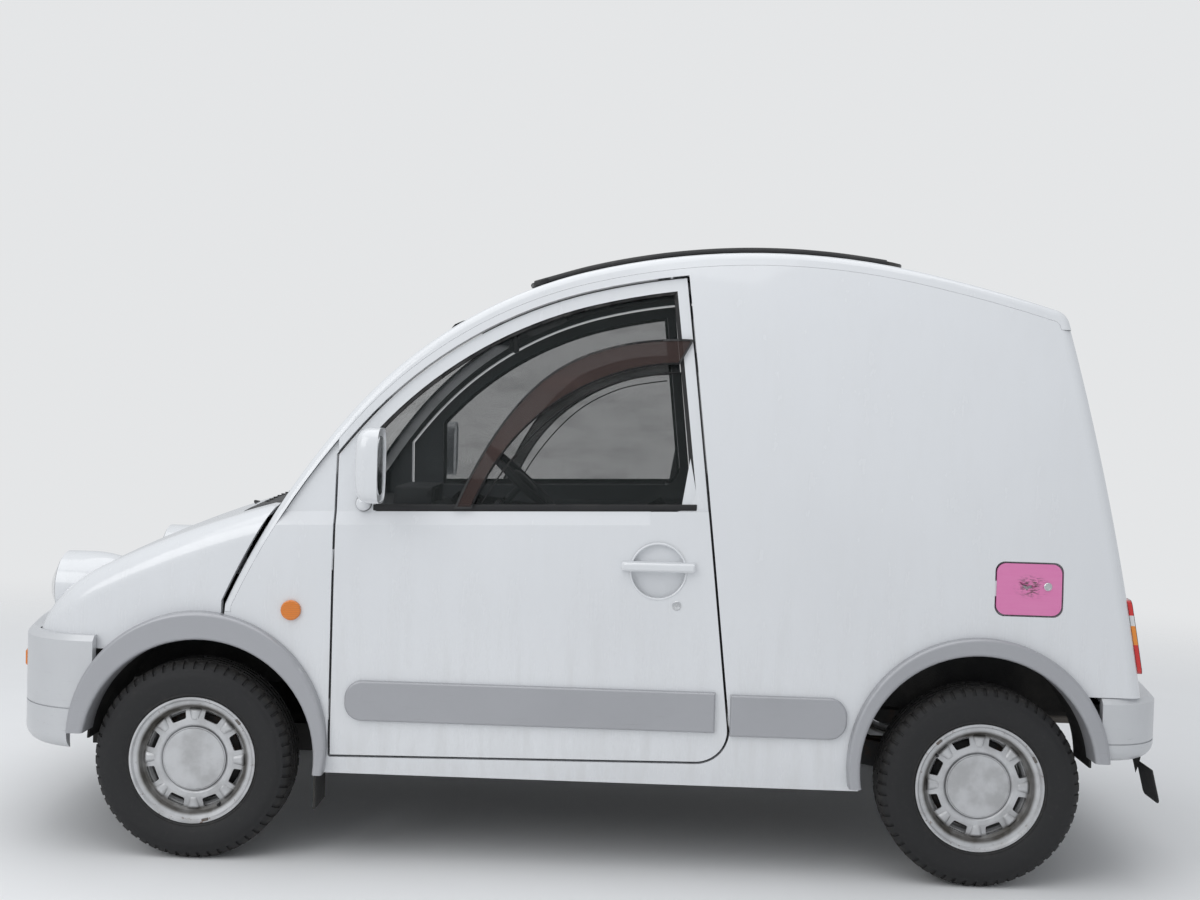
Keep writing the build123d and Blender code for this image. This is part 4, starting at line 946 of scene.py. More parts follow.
    def _chosen(self, mode: str, meant: Callable[[Any], bool]) -> "Piece":
        """Select the faces, edges or vertices that a test means.

        Args:
            mode: FACE, EDGE or VERT.
            meant: says of one of them whether it is meant.

        Returns:
            The piece.
        """
        self.edit()
        bpy.ops.mesh.select_mode(type=mode)
        bpy.ops.mesh.select_all(action="DESELECT")
        cage = bmesh.from_edit_mesh(self.shape.data)
        for part in {"FACE": cage.faces, "EDGE": cage.edges, "VERT": cage.verts}[mode]:
            if meant(part):
                part.select_set(True)
        bmesh.update_edit_mesh(self.shape.data)
        return self

    def faces(self, test: Test) -> "Piece":
        """Select faces by their middle and normal."""
        return self._chosen("FACE", lambda face: test(face.calc_center_median(), face.normal))

    def edges(self, test: Test) -> "Piece":
        """Select edges by their middle and direction."""

        def meant(edge: bmesh.types.BMEdge) -> bool:
            """Test one edge."""
            start, end = (vertex.co for vertex in edge.verts)
            return test((start + end) / 2, (end - start).normalized())

        return self._chosen("EDGE", meant)

    def points(self, test: Callable[[Vector], bool]) -> "Piece":
        """Select vertices by their place."""
        return self._chosen("VERT", lambda vertex: test(vertex.co))

    def open_edges(self) -> "Piece":
        """Select the edges that only one face uses."""
        self.edit()
        bpy.ops.mesh.select_mode(type="EDGE")
        bpy.ops.mesh.select_all(action="DESELECT")
        bpy.ops.mesh.select_non_manifold(extend=False, use_wire=True, use_boundary=True)
        return self

    def inset(self, width: float, depth: float = 0.0, each: bool = False) -> "Piece":
        """Inset the selected faces.

        Args:
            width: how far in from their edges.
            depth: how far out or, below 0, in along their normals.
            each: inset every face on its own.

        Returns:
            The piece, the inner faces selected.
        """
        bpy.ops.mesh.inset(thickness=width, depth=depth, use_individual=each, use_even_offset=True)
        return self

    def push(self, step: Point) -> "Piece":
        """Extrude what is selected by a step."""
        bpy.ops.mesh.extrude_region_move(TRANSFORM_OT_translate={"value": step})
        return self

    def slide(self, step: Point, reach: float = 0.0) -> "Piece":
        """Move what is selected, and what lies within reach of it less and less.

        Args:
            step: the move.
            reach: how far the move is felt.

        Returns:
            The piece.
        """
        bpy.ops.transform.translate(
            value=step,
            use_proportional_edit=reach > 0,
            proportional_edit_falloff="SMOOTH",
            proportional_size=max(reach, 0.001),
        )
        return self

    def scale(self, factors: Point, centre: Point) -> "Piece":
        """Scale what is selected about a point."""
        bpy.ops.transform.resize(value=factors, center_override=centre)
        return self

    def turn(self, angle: float, axis: str, centre: Point) -> "Piece":
        """Turn the whole piece about an axis through a point.

        Args:
            angle: the turn in radians.
            axis: X, Y or Z.
            centre: the point.

        Returns:
            The piece.
        """
        self.whole()
        bpy.ops.transform.rotate(value=angle, orient_axis=axis, center_override=centre)
        return self

    def chamfer(self, width: float, segments: int = 3) -> "Piece":
        """Round the selected edges."""
        bpy.ops.mesh.bevel(offset=width, segments=segments, affect="EDGES", clamp_overlap=True)
        return self

    def cut(self, place: Point, across: Point) -> "Piece":
        """Cut the whole piece along a plane, keeping both sides.

        Args:
            place: a point of the plane.
            across: the plane's normal.

        Returns:
            The piece.
        """
        self.whole()
        bpy.ops.mesh.bisect(plane_co=place, plane_no=across)
        return self

    def split(self, cuts: int) -> "Piece":
        """Subdivide what is selected."""
        bpy.ops.mesh.subdivide(number_cuts=cuts)
        return self

    def weld(self, reach: float = 0.00005) -> "Piece":
        """Merge vertices that lie together."""
        self.whole()
        bpy.ops.mesh.remove_doubles(threshold=reach)
        return self

    def outward(self) -> "Piece":
        """Turn every face outwards."""
        self.whole()
        bpy.ops.mesh.normals_make_consistent(inside=False)
        return self

    def modified(self, kind: str, **settings: Any) -> "Piece":
        """Add a modifier and apply it.

        Args:
            kind: the modifier's type.
            settings: its properties.

        Returns:
            The piece.
        """
        self.picked()
        made = self.shape.modifiers.new(kind.title(), kind)
        for key, value in settings.items():
            setattr(made, key, value)
        bpy.ops.object.modifier_apply(modifier=made.name)
        return self

    def rounded(self, width: float, segments: int = 2) -> "Piece":
        """Round every sharp edge."""
        return self.modified(
            "BEVEL",
            width=width,
            segments=segments,
            limit_method="ANGLE",
            angle_limit=math.radians(SHARP_EDGE),
            harden_normals=False,
        )

    def thickened(self, depth: float, side: float = 1.0) -> "Piece":
        """Give a sheet its thickness, to its face side at 1 and its back at -1."""
        return self.modified("SOLIDIFY", thickness=depth, offset=side, use_even_offset=True)

    def softened(self, levels: int = 1) -> "Piece":
        """Subdivide and smooth the whole surface."""
        return self.modified("SUBSURF", levels=levels, render_levels=levels)

    def stuffed(self, voxel: float, pressure: float, cap: float) -> "Piece":
        """Swell the piece as stuffed cloth, with a cap on how far any point moves.

        Args:
            voxel: size of its remeshed faces.
            pressure: the stuffing's pressure.
            cap: the longest move.

        Returns:
            The piece.
        """
        self.modified("REMESH", mode="VOXEL", voxel_size=voxel)
        rest = [vertex.co.copy() for vertex in self.shape.data.vertices]
        self.picked()
        cloth = self.shape.modifiers.new("Cloth", "CLOTH")
        cloth.settings.quality = 5
        cloth.settings.use_pressure = True
        cloth.settings.uniform_pressure_force = pressure
        cloth.settings.effector_weights.gravity = 0.0
        cloth.point_cache.frame_start = 1
        cloth.point_cache.frame_end = CLOTH_FRAMES
        for frame in range(1, CLOTH_FRAMES + 1):
            bpy.context.scene.frame_set(frame)
        bpy.ops.object.modifier_apply(modifier=cloth.name)
        bpy.context.scene.frame_set(1)
        for vertex, start in zip(self.shape.data.vertices, rest):
            move = vertex.co - start
            if move.length > cap:
                vertex.co = start + move * (cap / move.length)
        return self

    def laid_on(self, node: str, axis: Axis, gap: float = 0.0) -> "Piece":
        """Project the piece along an axis on to a node of the frame.

        Args:
            node: the node's name.
            axis: the direction.
            gap: how far off the node it stays.

        Returns:
            The piece.
        """
        directions = {f"use_project_{letter}": axis.name.lower() == letter for letter in "xyz"}
        return self.modified(
            "SHRINKWRAP",
            target=bpy.data.objects[node],
            wrap_method="PROJECT",
            wrap_mode="ABOVE_SURFACE",
            use_negative_direction=True,
            use_positive_direction=True,
            offset=gap,
            **directions,
        )

    def copy(self, name: str, step: Point = (0.0, 0.0, 0.0), mirrored: bool = False) -> "Piece":
        """Copy the piece with a mesh of its own.

        Args:
            name: the copy's name.
            step: how far the copy is moved.
            mirrored: put the copy on the van's other side.

        Returns:
            The copy.
        """
        leave_edit_mode()
        twin = self.shape.copy()
        twin.data = self.shape.data.copy()
        twin.name = name
        twin.data.name = name
        bpy.context.scene.collection.objects.link(twin)
        made = Piece(twin).whole()
        if any(step):
            made.slide(step)
        if mirrored:
            made.scale((1.0, -1.0, 1.0), (0.0, 0.0, 0.0)).outward()
        return made

    def right_name(self) -> str:
        """Name of the piece's twin on the right."""
        return self.shape.name.replace("_left", "_right")

    def joined(self, *others: "Piece") -> "Piece":
        """Join other pieces into this one."""
        leave_edit_mode()
        for other in (*others, self):
            other.shape.select_set(True)
        bpy.context.view_layer.objects.active = self.shape
        bpy.ops.object.join()
        return self

    def dress(
        self,
        finish: bpy.types.Material,
        body: str,
        slot: str,
        replaces: Sequence[str] = (),
        sharp: float = 32.0,
    ) -> "Piece":
        """Give the piece its finish and its place in the frame.

        Args:
            finish: its material.
            body: the body that it rides on.
            slot: the record's slot; not used.
            replaces: nodes that it stands for.
            sharp: angle in degrees past which its edges stay sharp.

        Returns:
            The piece.
        """
        self.picked()
        self.shape.data.materials.clear()
        self.shape.data.materials.append(finish)
        bpy.ops.object.shade_smooth_by_angle(angle=math.radians(sharp))
        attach(self.shape, body)
        if replaces:
            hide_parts(*replaces)
        log.info("%s on %s: %d faces", self.shape.name, body, len(self.shape.data.polygons))
        leave_edit_mode()
        return self

    def dressed_pair(self, finish: bpy.types.Material, bodies: tuple[str, str], slot: str) -> None:
        """Dress a left-hand piece and its mirrored twin.

        Args:
            finish: their material.
            bodies: the left and the right body.
            slot: the record's slot.
        """
        twin = self.copy(self.right_name(), mirrored=True)
        self.dress(finish, bodies[0], slot)
        twin.dress(finish, bodies[1], slot)


def together(pieces: Sequence[Piece]) -> Piece:
    """Join pieces into the first of them."""
    return pieces[0].joined(*pieces[1:])




class Palette:
    """Every finish of the van, each built once."""

    def __init__(self) -> None:
        """Build the finishes that several pieces share."""
        self.body = PearlPaint("pearl_paint").make()
        self.body_left = PearlPaint("pearl_paint_left", lining=Lining.LEFT).make()
        self.body_right = PearlPaint("pearl_paint_right", lining=Lining.RIGHT).make()
        self.body_roof = PearlPaint("pearl_paint_roof", lining=Lining.ROOF).make()
        self.body_lid = PearlPaint("pearl_paint_lid", lining=Lining.LID).make()
        self.bumper = SilverFinish("bumper_silver", (0.6, 0.61, 0.625), 0.25, 0.34).make()
        self.strip = SilverFinish("strip_silver", (0.4, 0.405, 0.425), 0.35, 0.36).make()
        self.rubber = MouldedPlastic("seal_rubber", (0.012, 0.012, 0.013), 0.62, 900.0, 0.0003, 0.18).make()
        self.black = MouldedPlastic("black_plastic", (0.022, 0.022, 0.023), 0.52, 480.0, 0.0005, 0.3).make()
        self.liner = MouldedPlastic("arch_liner", (0.014, 0.014, 0.014), 0.78, 260.0, 0.0012, 0.55).make()
        self.cabin = MouldedPlastic("cabin_plastic", (0.055, 0.058, 0.064), 0.6, 620.0, 0.0006, 0.12).make()
        self.dash = MouldedPlastic("dash_plastic", (0.04, 0.042, 0.046), 0.64, 420.0, 0.0008, 0.16).make()
        self.glass = Pane("tinted_glass", (0.012, 0.016, 0.015), 0.3).make()
        self.screen = Pane("screen_glass", (0.014, 0.019, 0.017), 0.2).make()
        self.smoked = Pane("smoked_visor", (0.048, 0.026, 0.022), 0.62, 0.1, 0.16).make()
        self.lamp_glass = Pane("lamp_glass", (0.55, 0.57, 0.58), 0.16, 0.03, 0.05).make()
        self.orange = Lens("orange_lens", ((0.0, (0.72, 0.2, 0.012)),), 0.006, 2).make()
        self.tail = Lens(
            "tail_lens",
            ((0.0, (0.62, 0.014, 0.012)), (0.4, (0.8, 0.26, 0.02)), (0.66, (0.7, 0.7, 0.7)),
             (0.8, (0.62, 0.014, 0.012))),
            0.007, 1, 0.624, 0.834,
        ).make()
        self.pink = PinkPaint("pink_paint").make()
        self.chrome = Steel("bright_metal", (0.72, 0.73, 0.74), 1.0, 0.16, 0.08).make()
        self.mirror = Steel("mirror_silver", (0.8, 0.82, 0.84), 1.0, 0.02, 0.0).make()
        self.frame = Steel("undercoated_steel", (0.03, 0.03, 0.031), 0.2, 0.66, 0.45).make()
        self.floor = MouldedPlastic("floor_mat", (0.035, 0.034, 0.033), 0.85, 300.0, 0.0012, 0.35).make()
        self.iron = Steel("engine_iron", (0.17, 0.17, 0.168), 0.75, 0.5, 0.4).make()
        self.hub = Steel("hub_steel", (0.2, 0.19, 0.18), 0.8, 0.5, 0.7).make()
        self.exhaust = Steel("exhaust_steel", (0.16, 0.145, 0.13), 0.8, 0.55, 0.8).make()
        dark, pale = (0.06, 0.063, 0.072), (0.17, 0.175, 0.19)
        self.canvas = Cloth(
            "black_canvas", (0.01, 0.01, 0.011), (0.04, 0.04, 0.042), 0.0026, (0, 1), 0.22
        ).make()
        self.seat_face = Cloth("seat_cloth", dark, pale, 0.0034, (1, 2), 0.1).make()
        self.seat_base = Cloth("seat_cushion_cloth", dark, pale, 0.0034, (0, 1), 0.14).make()
        self.plate = MouldedPlastic("blank_plate", (0.74, 0.74, 0.72), 0.42, 60.0, 0.0002, 0.3).make()
        self.rims = {x: WheelSteel(f"wheel_steel_{name}", x).make()
                     for name, x in (("front", FRONT_AXLE_X), ("rear", REAR_AXLE_X))}
        self.tyres = {x: TyreRubber(f"tyre_rubber_{name}", axle_x=x).make()
                      for name, x in (("front", FRONT_AXLE_X), ("rear", REAR_AXLE_X))}

    def dress_frame(self, nodes: dict[str, bpy.types.Object]) -> None:
        """Give every node of the frame its finish.

        Args:
            nodes: the frame's nodes by name.
        """
        named = {
            "side_panel_left": self.body_left, "side_panel_right": self.body_right,
            "roof_frame": self.body_roof, "tailgate": self.body_lid, "door_left": self.body_left,
            "door_right": self.body_right, "mirror_left": self.body, "mirror_right": self.body,
            "hood": self.body_lid, "fender_left": self.body, "fender_right": self.body,
            "grille_panel": self.body, "canvas_roof": self.canvas, "windscreen": self.screen,
            "tailgate_glass": self.glass, "door_glass_left": self.glass, "door_glass_right": self.glass,
            "visor_left": self.smoked, "visor_right": self.smoked, "door_strip_left": self.strip,
            "door_strip_right": self.strip, "fuel_flap": self.pink, "headlamps": self.lamp_glass,
            "cowl_bulkhead": self.black, "front_bumper": self.bumper, "rear_bumper": self.bumper,
            "side_mouldings": self.strip, "wheel_liners": self.liner, "floor_pan": self.floor,
            "tail_lamps": self.tail, "side_repeaters": self.orange, "dashboard": self.dash,
            "steering_wheel": self.dash, "seats": self.seat_face, "engine_block": self.iron,
            "front_suspension": self.frame, "knuckle_left": self.hub, "knuckle_right": self.hub,
            "rear_axle": self.frame, "exhaust_and_tank": self.exhaust,
        }
        for name, shape in nodes.items():
            finish = named.get(name)
            if finish is None:
                axle = FRONT_AXLE_X if "front" in name else REAR_AXLE_X
                finish = (self.rims if name.startswith("rim") else self.tyres)[axle]
            for holder in shape.material_slots:
                holder.material = finish


@dataclass(frozen=True)
class Studio:
    """Pale floor, soft light all round and the camera where the photograph was taken."""

    floor_colour: Colour = (0.86, 0.865, 0.87)
    floor_side: float = 60.0
    floor_drop: float = 0.0005
    fade: tuple[float, float] = (2.8, 7.0)
    light_colour: Colour = (0.93, 0.96, 1.0)
    light_strength: float = 0.62
    backdrop_colour: Colour = (0.78, 0.79, 0.8)
    camera_place: Point = (0.137, -4.878, 1.341)
    camera_turns: Point = (-1.28, 1.728, 1.711)
    lens: float = 43.5

    def build(self) -> None:
        """Make the world, the floor, the lamps and the camera."""
        self._world()
        self._floor()
        self._lamp("sky_panel", (-0.6, -1.2, 6.2), (0.0, 0.0, 0.6), 7.0, 170.0)
        self._lamp("side_panel_light", (-4.6, -5.6, 4.4), (0.0, 0.0, 0.8), 4.0, 100.0)
        self._camera()

    def _world(self) -> None:
        """Plain white surroundings, pale behind the van."""
        world = bpy.data.worlds.new("studio")
        bpy.context.scene.world = world
        web = NodeWeb(world)
        path = web.node("ShaderNodeLightPath")
        light = web.node("ShaderNodeBackground", None, {0: self.light_colour, 1: self.light_strength})
        backdrop = web.node("ShaderNodeBackground", None, {0: self.backdrop_colour, 1: 1.0})
        rays = {0: path.outputs["Is Camera Ray"], 1: path.outputs["Is Transmission Ray"]}
        seen = web.node("ShaderNodeMath", {"operation": "MAXIMUM"}, rays)
        shades = {0: seen.outputs[0], 1: light.outputs[0], 2: backdrop.outputs[0]}
        blend = web.node("ShaderNodeMixShader", None, shades)
        web.node("ShaderNodeOutputWorld", None, {0: blend.outputs[0]})

    def _floor(self) -> None:
        """Wide concrete-pale floor that fades out into the backdrop."""
        centre = (0.0, 0.0, -self.floor_drop)
        floor = Piece.grid("studio_floor", centre, (self.floor_side, self.floor_side), (12, 12))
        leave_edit_mode()
        mix = Mixture("studio_floor")
        x, y, _ = mix.along()
        reach = (x * x + y * y).root()
        tone = mix.blend(mix.noise(2.5, 6.0), self.floor_colour, shade(self.floor_colour, 0.96))
        relief = mix.bump(mix.noise(60.0, 5.0), 0.001, 0.2)
        shown = 1 - reach.between(*self.fade)
        floor.shape.data.materials.append(
            mix.surface(Base_Color=tone, Roughness=0.9, Alpha=shown, Normal=relief)
        )

    def _lamp(self, name: str, place: Point, aim: Point, size: float, power: float) -> None:
        """Make one soft square lamp.

        Args:
            name: its name.
            place: where it hangs.
            aim: the point it looks at.
            size: its side.
            power: its power in watts.
        """
        data = bpy.data.lights.new(name, "AREA")
        data.size = size
        data.energy = power
        lamp = bpy.data.objects.new(name, data)
        bpy.context.scene.collection.objects.link(lamp)
        lamp.location = place
        lamp.rotation_euler = (Vector(aim) - Vector(place)).to_track_quat("-Z", "Y").to_euler()

    def _camera(self) -> None:
        """Set the camera at the photograph's place, turn and lens."""
        yaw, pitch, roll = (math.radians(turn) for turn in self.camera_turns)
        ahead = Vector((math.sin(yaw) * math.cos(pitch), math.cos(yaw) * math.cos(pitch), -math.sin(pitch)))
        right = Vector((math.cos(yaw), -math.sin(yaw), 0.0))
        up = right.cross(ahead)
        level = right * math.cos(roll) + up * math.sin(roll)
        tall = up * math.cos(roll) - right * math.sin(roll)
        data = bpy.data.cameras.new("photo_camera")
        data.sensor_width = 36.0
        data.lens = self.lens
        camera = bpy.data.objects.new("photo_camera", data)
        bpy.context.scene.collection.objects.link(camera)
        turned = Matrix((level, tall, -ahead)).transposed().to_4x4()
        camera.matrix_world = Matrix.Translation(self.camera_place) @ turned
        bpy.context.scene.camera = camera
        bpy.context.scene.view_settings.view_transform = "Standard"


@dataclass(frozen=True)
class Wheels:
    """Road wheels: grooved tyres with shoulder blocks, rim ribs, caps, weights, valves and brake drums."""

    places: tuple[tuple[str, float], ...] = (("front", FRONT_AXLE_X), ("rear", REAR_AXLE_X))
    sides: int = 168
    tyre_section: Outline = (
        (0.1676, -0.053), (0.1838, -0.059), (0.185, -0.064), (0.19, -0.0672), (0.1925, -0.0662),
        (0.199, -0.069), (0.21, -0.0742), (0.238, -0.0775), (0.252, -0.0768), (0.2545, -0.075),
        (0.26, -0.0744), (0.266, -0.0722), (0.2755, -0.0655), (0.2812, -0.06), (0.286, -0.048),
        (0.286, -0.04), (0.279, -0.0385), (0.279, -0.0335), (0.286, -0.032), (0.286, -0.016),
        (0.279, -0.0145), (0.279, -0.0095), (0.286, -0.008),
    )
    rib_radius: float = 0.128
    windows: int = 8
    cap_radius: float = 0.0885
    weight_radius: float = 0.1755
    weight_turns: tuple[tuple[float, float], ...] = ((0.85, 2.9), (-0.75, 1.05))
    valve_radius: float = 0.15
    valve_turns: tuple[float, float] = (2.6, -0.95)

    def build(self, palette: Palette) -> None:
        """Model one wheel of each axle on the left and mirror it to the right."""
        for end, axle_x in self.places:
            bodies = (f"wheel_{end}_left", f"wheel_{end}_right")
            centre = (axle_x, -WHEEL_Y, AXLE_Z)
            self._tyre(end, centre, bodies, palette.tyres[axle_x])
            self._ribs(end, centre).dressed_pair(palette.rims[axle_x], bodies, "rim_steel")
            self._cap(end, centre).dressed_pair(palette.rims[axle_x], bodies, "rim_steel")
            self._weights(end, centre).dressed_pair(palette.hub, bodies, "hub_steel")
            self._valve(end, centre).dressed_pair(palette.rubber, bodies, "black_plastic")
            self._drum(end, centre).dressed_pair(palette.frame, bodies, "hub_steel")

    def _tyre(self, end: str, centre: Point, bodies: tuple[str, str], finish: bpy.types.Material) -> None:
        """Turn the tyre, cut its grooves by its section and push in its shoulder slots."""
        other_half = tuple((r, -along) for r, along in reversed(self.tyre_section))
        tyre = Piece.turned(
            f"road_tyre_{end}_left", centre, Axis.Y, self.tyre_section + other_half, self.sides, shut=True
        )

        def polar(middle: Vector) -> tuple[float, int, float]:
            """Radius, count round the tyre and distance from its middle plane."""
            offset = middle - Vector(centre)
            count = int((math.atan2(offset.x, offset.z) / math.tau + 1.0) * self.sides + 0.01)
            return math.hypot(offset.x, offset.z), count, abs(offset.y)

        def outer(middle: Vector, _: Vector) -> bool:
            """Every third face of the shoulder and of the tread's outer ribs."""
            reach, count, side = polar(middle)
            shoulder = reach > 0.2675 and side > 0.0535
            rib = reach > 0.285 and 0.0402 < side < 0.048
            return count % 3 == 0 and (shoulder or rib)

        def inner(middle: Vector, _: Vector) -> bool:
            """Every fourth face of the tread's inner ribs."""
            reach, count, side = polar(middle)
            return reach > 0.285 and 0.016 < side < 0.032 and count % 4 == 0

        tyre.faces(outer).inset(0.0009, -0.0042)
        tyre.faces(inner).inset(0.0012, -0.005)
        twin = tyre.copy(f"road_tyre_{end}_right", mirrored=True)
        tyre.dress(finish, bodies[0], "tyre", (f"tyre_{end}_left",), 38.0)
        twin.dress(finish, bodies[1], "tyre", (f"tyre_{end}_right",), 38.0)

    def _ribs(self, end: str, centre: Point) -> Piece:
        """Raised pressed ribs between the rim's windows."""
        face_y = centre[1] - 0.041
        rib = Piece.block(f"rim_ribs_{end}_left", (centre[0], face_y, centre[2] + self.rib_radius),
                          (0.026, 0.01, 0.036))
        rib.faces(facing("-y", 0.5)).inset(0.006, 0.0)
        rib.slide((0.0, -0.0015, 0.0))
        rib.faces(facing("+z", 0.5)).scale((1.5, 1.0, 1.0), (centre[0], face_y, 0.0))
        rib.slide((0.0, 0.006, 0.0))
        rib.faces(facing("-z", 0.5)).scale((0.8, 1.0, 1.0), (centre[0], face_y, 0.0))
        rib.slide((0.0, 0.0045, 0.0))
        rib.rounded(0.004, 3)
        turns = range(1, self.windows)
        return rib.joined(
            *(rib.copy(f"rim_rib_{step}").turn(step * math.tau / self.windows, "Y", centre) for step in turns)
        )

    def _cap(self, end: str, centre: Point) -> Piece:
        """Low crowned hub cap with a step at its edge."""
        r = self.cap_radius
        profile = ((r + 0.0035, -0.0405), (r + 0.003, -0.0425), (r + 0.0006, -0.043), (r, -0.04),
                   (r - 0.0002, -0.0418), (r - 0.0015, -0.0436), (r - 0.006, -0.0449), (0.06, -0.0458),
                   (0.03, -0.0463), (0.004, -0.0464))
        return Piece.turned(f"hub_cap_{end}_left", centre, Axis.Y, profile, 72, capped=True)

    def _weights(self, end: str, centre: Point) -> Piece:
        """Clipped-on balance weights at the rim's lip."""
        made = []
        for turn in self.weight_turns[end == "rear"]:
            x, z = self._round(centre, self.weight_radius, turn)
            weight = Piece.block(f"weights_{end}_left", (x, centre[1] - 0.0655, z), (0.02, 0.006, 0.008))
            weight.rounded(0.002, 2).turn(-turn, "Y", (x, 0.0, z))
            made.append(weight)
        return together(made)

    @staticmethod
    def _round(centre: Point, radius: float, turn: float) -> tuple[float, float]:
        """Place on a circle round the wheel's axle, turned from straight up."""
        return centre[0] + radius * math.sin(turn), centre[2] + radius * math.cos(turn)

    def _valve(self, end: str, centre: Point) -> Piece:
        """Rubber valve stem with its cap."""
        x, z = self._round(centre, self.valve_radius, self.valve_turns[end == "rear"])
        profile = ((0.0055, -0.022), (0.005, -0.034), (0.0034, -0.038), (0.0032, -0.05), (0.0042, -0.051),
                   (0.0042, -0.059), (0.003, -0.061))
        return Piece.turned(f"valve_{end}_left", (x, centre[1], z), Axis.Y, profile, 14, capped=True)

    def _drum(self, end: str, centre: Point) -> Piece:
        """Ribbed brake drum seen through the rim's windows."""
        profile = ((0.04, 0.016), (0.127, 0.016), (0.13, 0.012), (0.13, 0.005), (0.124, 0.003),
                   (0.124, -0.001), (0.118, -0.004), (0.094, -0.006), (0.06, -0.01), (0.034, -0.011))
        return Piece.turned(f"brake_drum_{end}_left", centre, Axis.Y, profile, 56, capped=True)


@dataclass(frozen=True)
class Glazing:
    """Rubber seals round the panes, the belt strips, the drop pane's arch and the corner trims."""

    seal_width: float = 0.011
    belt_height: float = 0.018
    belt_start: float = -0.6
    belt_end: float = 0.326
    gap_distance: float = 0.0026
    gap_radius: float = 0.0022
    pane_arch: Outline = (
        (-0.296, 1.04), (-0.262, 1.108), (-0.165, 1.24), (-0.06, 1.34), (0.06, 1.404), (0.16, 1.432),
        (0.262, 1.446),
    )

    def build(self, palette: Palette) -> None:
        """Build the seals of every pane."""
        seal = Piece.band("window_seal_left", "door_glass_left", (0.0, -1.0, 0.0), self.seal_width)
        seal.thickened(0.01).dressed_pair(palette.rubber, DOORS, "black_plastic")
        screen = Piece.band("screen_seal", "windscreen", (-0.7, 0.0, 0.6), 0.018)
        screen.thickened(0.0026).dress(palette.rubber, "body", "black_plastic")
        rear = Piece.band("tailgate_seal", "tailgate_glass", (1.0, 0.0, 0.1), 0.016)
        rear.thickened(0.0075).dress(palette.rubber, "tailgate", "black_plastic")
        edge = Piece.band("visor_edge_left", "visor_left", (0.0, -1.0, 0.2), 0.0055)
        edge.thickened(0.0022).dressed_pair(palette.black, DOORS, "black_plastic")
        self._belt().dressed_pair(palette.rubber, DOORS, "black_plastic")
        # Gap seals, partly painted shade in the door gaps.
        self._gap_seal_and_shade().dressed_pair(palette.rubber, BODY, "black_plastic")
        self._arch_line().dressed_pair(palette.rubber, DOORS, "black_plastic")
        self._corner().dressed_pair(palette.body, DOORS, "body_paint")

    def _belt(self) -> Piece:
        """Seal strip along the foot of the window, rising to the rear with the belt line."""
        middle_x = (self.belt_start + self.belt_end) / 2
        z = belt_height(middle_x) + 0.011
        y = -flank_half(z) + 0.0155
        strip = Piece.block("belt_strip_left", (middle_x, y, z),
                            (self.belt_end - self.belt_start, 0.011, self.belt_height))
        rise = BELT_SLOPE * (self.belt_end - self.belt_start) / 2
        for sign in (-1, 1):
            strip.faces(lambda m, n, s=sign: n.x * s > 0.5).slide((0.0, sign * 0.0012, sign * rise))
        strip.faces(facing("-y", 0.5)).inset(0.003, 0.0015)
        return strip.rounded(0.0022, 3)

    def _gap_seal_and_shade(self) -> Piece:
        """Black weather strips in the gaps in front of and behind the door, dark also as painted shade in the
        gaps.
        """
        # Painted shade: these dark strips also stand in for the shade deep in the door gaps.
        made = []
        for name, side, low, high, deep in (
            ("door_gap_seal_left", -1, 0.34, 0.96, 0.005), ("rear_run", 1, 0.42, 1.48, 0.014)
        ):
            points = []
            for step in range(9):
                z = low + (high - low) * step / 8
                y = -flank_half(z) + deep
                edge = touch("door_left", (side * 0.95, y, z), (-side, 0.0, 0.0)).x
                points.append((edge + side * self.gap_distance, y, z))
            made.append(Piece.tube(name, points, self.gap_radius, 1))
        return together(made)

    def _arch_line(self) -> Piece:
        """Thin seal over the drop pane's edge, just under the visor."""
        points = [(x, -flank_half(z) + 0.0228, z) for x, z in self.pane_arch]
        return Piece.tube("pane_arch_left", points, 0.0022, 2)

    def _corner(self) -> Piece:
        """Painted corner trim at the window's lower rear corner."""
        outline = ((0.304, 1.2), (0.283, 1.066), (0.329, 1.066), (0.32, 1.12))
        trim = Piece.chain("corner_trim_left", [(x, -flank_half(z) + 0.017, z) for x, z in outline], True)
        trim.outward().thickened(0.009, 0.0)
        return trim.rounded(0.0016, 2)


